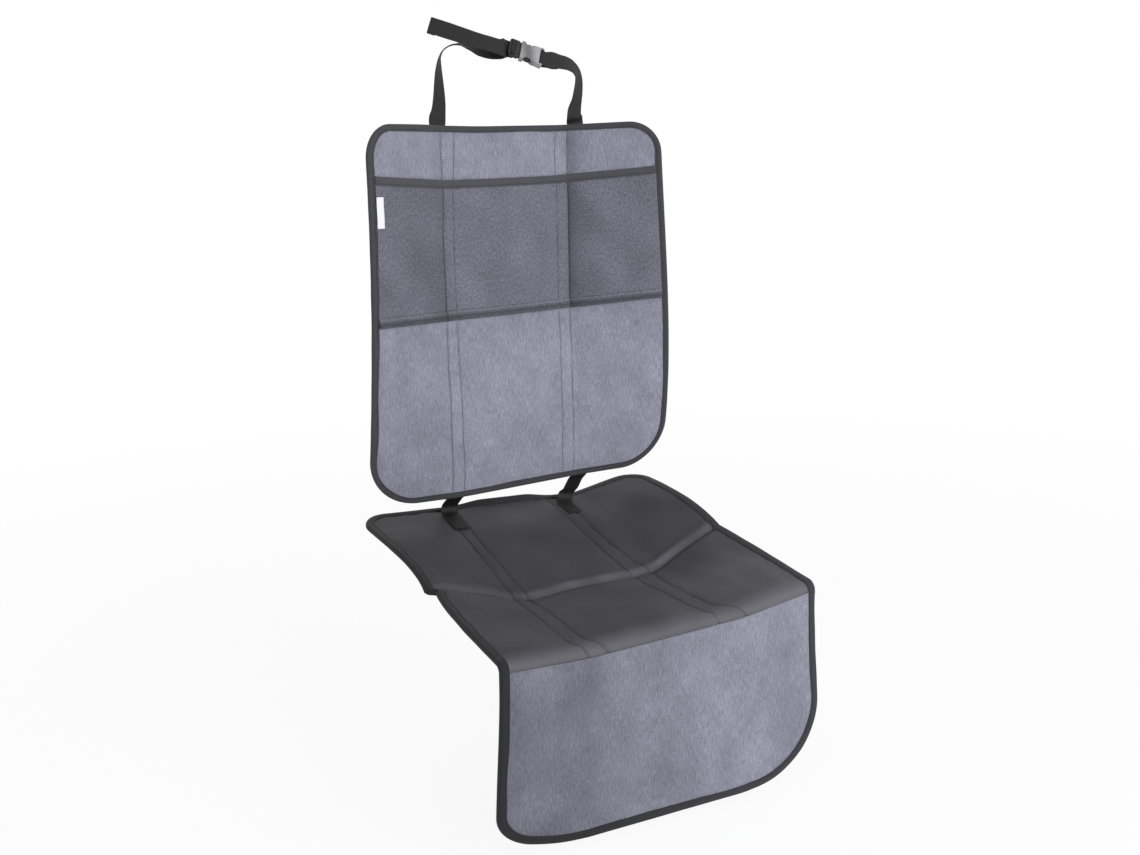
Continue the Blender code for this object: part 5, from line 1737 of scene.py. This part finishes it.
class MAT_OT_seat(bpy.types.Operator):
    """Make the padded seat, the front flap and the edge tape round both"""

    bl_idname = "mat.seat"
    bl_label = "Seat and flap"

    def execute(self, context):
        inset = TAPE + GAP
        rows = rows_along(SEAT, inset, FOLD_SPAN[0], inset)
        rows += stepped(*FOLD_SPAN, FOLD_STEP)[1:] + stepped(FOLD_SPAN[1], FRONT_EDGE, GRID_STEP)[1:]
        rows += spaced(FRONT_EDGE, SEAM - GAP / 2.0, 14)[1:]
        places = places_across(SEAT, SEAT_LINES, rows, inset)
        piece = padded_cloth("seat_cloth", SEAT, rows, places, seat_relief, seat_tone)
        place_piece(piece, [leatherette, backing_cloth], "seat_leatherette", "seat_pad")
        rows = rows_along(SEAT, SEAM + GAP / 2.0, SEAT_LENGTH - inset, inset)
        places = places_across(SEAT, (), rows, inset)
        flap = padded_cloth("flap_cloth", SEAT, rows, places, flap_relief, flap_tone)
        place_piece(flap, [melange, backing_cloth], "heather_cloth", "front_flap")
        tape = edge_tape("seat_edge_tape", SEAT, 111)
        # Painted shade: the seat's tape darker towards its left.
        shade(tape, lambda across: 0.26 + 0.50 * eased((across + 0.22) / 0.40))
        place_piece(tape, [ribbed_tape], "binding_tape", "seat_binding")
        return {"FINISHED"}


class MAT_OT_straps(bpy.types.Operator):
    """Make the headrest strap's two lengths and the two joining straps"""

    bl_idname = "mat.straps"
    bl_label = "Straps"

    def execute(self, context):
        routes = {
            "headrest_strap_left": left_strap_stations(),
            "headrest_strap_right": right_strap_stations(),
            "joining_strap_left": joining_strap_stations(-1.0),
            "joining_strap_right": joining_strap_stations(1.0),
        }
        for node, stations in routes.items():
            stations = smooth_stations(stations, STRAP_STEP)
            if node == "headrest_strap_left":
                stations += folded_end(stations[-2], stations[-1])
            place_piece(webbing(node + "_webbing", stations), [strap_webbing], "black_webbing", node)
        return {"FINISHED"}


class MAT_OT_buckle(bpy.types.Operator):
    """Make the side release buckle"""

    bl_idname = "mat.buckle"
    bl_label = "Buckle"

    def execute(self, context):
        plug = moulded("plug", *plug_parts(), PLUG_SOFTENING)
        place_piece(plug, [plug_plastic], "buckle_plastic", "buckle_plug")
        socket = moulded("socket", *socket_parts(), SOCKET_SOFTENING)
        place_piece(socket, [socket_plastic], "buckle_plastic", "buckle_socket")
        return {"FINISHED"}


class MAT_OT_stitching(bpy.types.Operator):
    """Sew the channels, the tapes, the front seam and the straps' ends"""

    bl_idname = "mat.stitching"
    bl_label = "Stitching"

    def execute(self, context):
        groups = {
            "back_stitching": self.back_runs(),
            "pocket_stitching": self.pocket_runs(),
            "seat_stitching": self.seat_runs(),
            "tape_stitching": self.tape_runs(),
            "strap_stitching": self.strap_runs(),
        }
        for name, runs in groups.items():
            place_piece(sewn_runs(name, runs), [sewing_thread], "binding_tape")
        return {"FINISHED"}

    def back_runs(self):
        """The channels of the back, below and above the pockets."""
        runs = []
        below = np.array(spaced(0.0105, POCKET_BOTTOM - 0.001, 90))
        above = np.array(spaced(POCKET_MOUTH + 0.001, BACK_HEIGHT - 0.0105, 30))
        for stretch in (below, above):
            for across in line_places(BACK_LINES, stretch, BACK_SEAM_SEED):
                height = BACK_THICKNESS / 2.0 + back_relief(across, stretch)
                runs.append(run_on(BACK, across, stretch, height))
        return runs

    def pocket_runs(self):
        """The channels over the pocket cloth, its hem, and its mouth tape."""
        runs = []
        level = np.array(spaced(POCKET_BOTTOM + POCKET_HEM, POCKET_MOUTH - MOUTH_TAPE_COVER, 60))
        sunk = pocket_seat(level) + POCKET_CLOTH - 0.0004
        for line in BACK_LINES:
            runs.append(run_on(BACK, along_table(line, level), level, sunk))
        across = np.array(spaced(-0.223, 0.223, 170))
        hem = pocket_seat(POCKET_BOTTOM + POCKET_HEM) + POCKET_CLOTH + 0.0001
        runs.append(run_on(BACK, across, POCKET_BOTTOM + POCKET_HEM + along_table(HEM_LINE, across), hem))
        tape = BACK_THICKNESS / 2.0 + 2.0 * GAP + 2.0 * TAPE + POCKET_CLOTH + 0.0006
        low = POCKET_MOUTH - MOUTH_TAPE_COVER + 0.002 + along_table(MOUTH_LINE, across)
        runs.append(run_on(BACK, across, low, tape))
        return runs

    def seat_runs(self):
        """The seat's channels, and the front seam."""
        runs = []
        along = np.array(spaced(0.0135, SEAM - 0.004, 190))
        for across in line_places(SEAT_LINES, along, SEAT_SEAM_SEED):
            runs.append(run_on(SEAT, across, along, SEAT_THICKNESS / 2.0 + seat_relief(across, along)))
        across = np.array(spaced(-0.2225, 0.2225, 180))
        level = across * 0.0 + SEAM + 0.004
        runs.append(run_on(SEAT, across, level, SEAT_THICKNESS / 2.0 + flap_relief(across, level)))
        return runs

    def tape_runs(self):
        """Both sides of both edge tapes."""
        return [edge_run(sheet, sheet.cover - 0.0021, side) for sheet in (BACK, SEAT) for side in (-1.0, 1.0)]

    def strap_runs(self):
        """The boxes that hold the ends of the straps."""
        runs = []
        over = SEAT_THICKNESS / 2.0 + GAP + JOINING_STRAP_REST + WEBBING + 0.0001
        behind = strap_backing() - WEBBING / 2.0
        for side in (-1.0, 1.0):
            place = side * of_side(side, JOINING_STRAP_LOWER)
            start, end = JOINING_STRAP_LAND + 0.003, JOINING_STRAP_END - 0.003
            runs.append(box_run(place, BOX_STITCH, start, end, over, SEAT))
            low = BACK_HEIGHT - HEADREST_STRAP_SEWN + 0.004
            place = side * of_side(side, HEADREST_STRAP_PLACES)
            places, outs = box_run(place, BOX_STITCH, low, BACK_HEIGHT - 0.012, behind, BACK)
            runs.append((places, -outs))
        return runs


class MAT_OT_stage(bpy.types.Operator):
    """Make the floor, the light and the camera"""

    bl_idname = "mat.stage"
    bl_label = "Stage"

    def execute(self, context):
        looks = context.scene.stage_looks
        self.floor(looks.floor_level)
        self.world(looks.world_light)
        self.lamp("key", looks.key_light)
        self.camera()
        context.scene.view_settings.view_transform = "Standard"
        return {"FINISHED"}

    def floor(self, level):
        """A floor that the camera sees as white further away, so that it meets the backdrop."""
        bm = bmesh.new()
        bmesh.ops.create_grid(bm, x_segments=1, y_segments=1, size=FLOOR_SIZE)
        bmesh.ops.translate(bm, vec=(0.0, 0.0, level), verts=bm.verts)
        piece = link("floor", mesh_from("floor", bm))
        finish = Finish("floor_white", 0.9)
        finish.colour((0.93, 0.93, 0.93, 1.0))
        camera_ray = finish.node("ShaderNodeLightPath")
        place = finish.node("ShaderNodeTexCoord", output=3)
        reach = finish.node("ShaderNodeVectorMath", {"operation": "LENGTH"}, {0: place}, output=1)
        far = finish.node("ShaderNodeMapRange", values={0: reach, **dict(enumerate(FLOOR_GLOW, 1))})
        glow = finish.tree.nodes.new("ShaderNodeEmission")
        mix = finish.tree.nodes.new("ShaderNodeMixShader")
        finish.join(mix.inputs[0], camera_ray * far)
        finish.tree.links.new(finish.shader.outputs[0], mix.inputs[1])
        finish.tree.links.new(glow.outputs[0], mix.inputs[2])
        finish.tree.links.new(mix.outputs[0], finish.tree.nodes["Material Output"].inputs[0])
        piece.data.materials.append(finish.material)

    def world(self, strength):
        """Even light from all sides, in front of a backdrop that the camera sees as white."""
        world = bpy.data.worlds.new("studio")
        bpy.context.scene.world = world
        world.use_nodes = True
        tree = world.node_tree
        lit = tree.nodes["Background"]
        white = tree.nodes.new("ShaderNodeBackground")
        for background, brightness in ((lit, strength), (white, 1.0)):
            background.inputs[0].default_value = (1.0, 1.0, 1.0, 1.0)
            background.inputs[1].default_value = brightness
        path = tree.nodes.new("ShaderNodeLightPath")
        mix = tree.nodes.new("ShaderNodeMixShader")
        tree.links.new(path.outputs["Is Camera Ray"], mix.inputs[0])
        tree.links.new(lit.outputs[0], mix.inputs[1])
        tree.links.new(white.outputs[0], mix.inputs[2])
        tree.links.new(mix.outputs[0], tree.nodes["World Output"].inputs[0])

    def lamp(self, name, power):
        """One large soft lamp in front."""
        data = bpy.data.lights.new(name, "AREA")
        data.shape = "SQUARE"
        data.size = LAMP_SIZE
        data.energy = power
        made = link(name, data)
        made.location = LAMP_PLACE
        made.rotation_euler = (Vector(LAMP_TARGET) - Vector(LAMP_PLACE)).to_track_quat("-Z", "Y").to_euler()

    def camera(self):
        """The camera that was fitted to the photograph."""
        data = bpy.data.cameras.new("camera")
        data.lens = CAMERA_LENS
        data.sensor_width = 36.0
        data.clip_start = 0.01
        made = link("camera", data)
        level = Vector((math.cos(CAMERA_YAW), -math.sin(CAMERA_YAW), 0.0))
        ahead = Vector((
            math.sin(CAMERA_YAW) * math.cos(CAMERA_PITCH),
            math.cos(CAMERA_YAW) * math.cos(CAMERA_PITCH),
            -math.sin(CAMERA_PITCH),
        ))
        upright = level.cross(ahead)
        right = level * math.cos(CAMERA_ROLL) + upright * math.sin(CAMERA_ROLL)
        up = upright * math.cos(CAMERA_ROLL) - level * math.sin(CAMERA_ROLL)
        turn = Matrix((right, up, -ahead)).transposed().to_4x4()
        made.matrix_world = Matrix.Translation(CAMERA_PLACE) @ turn
        bpy.context.scene.camera = made


class MAT_PT_sidebar(bpy.types.Panel):
    """Lists the operators that make the mat"""

    bl_label = "Seat Mat"
    bl_idname = "MAT_PT_sidebar"
    bl_space_type = "VIEW_3D"
    bl_region_type = "UI"
    bl_category = "Seat Mat"

    def draw(self, context):
        for operator in OPERATORS:
            self.layout.operator(operator.bl_idname)
        for looks in (context.scene.mat_looks, context.scene.stage_looks):
            for name in looks.__annotations__:
                self.layout.prop(looks, name)


OPERATORS = (
    MAT_OT_back_panel, MAT_OT_pockets, MAT_OT_seat, MAT_OT_straps, MAT_OT_buckle,
    MAT_OT_stitching, MAT_OT_stage,
)
GROUPS = (MatLooks, StageLooks)


def register():
    for item in (*GROUPS, *OPERATORS, MAT_PT_sidebar):
        bpy.utils.register_class(item)
    bpy.types.Scene.mat_looks = bpy.props.PointerProperty(type=MatLooks)
    bpy.types.Scene.stage_looks = bpy.props.PointerProperty(type=StageLooks)


def unregister():
    del bpy.types.Scene.stage_looks
    del bpy.types.Scene.mat_looks
    for item in reversed((*GROUPS, *OPERATORS, MAT_PT_sidebar)):
        bpy.utils.unregister_class(item)


def main():
    """Make the whole mat and its stage."""
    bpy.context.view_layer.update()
    register()
    bpy.ops.mat.back_panel()
    bpy.ops.mat.pockets()
    bpy.ops.mat.seat()
    bpy.ops.mat.straps()
    bpy.ops.mat.buckle()
    bpy.ops.mat.stitching()
    bpy.ops.mat.stage()


if __name__ == "__main__":
    main()
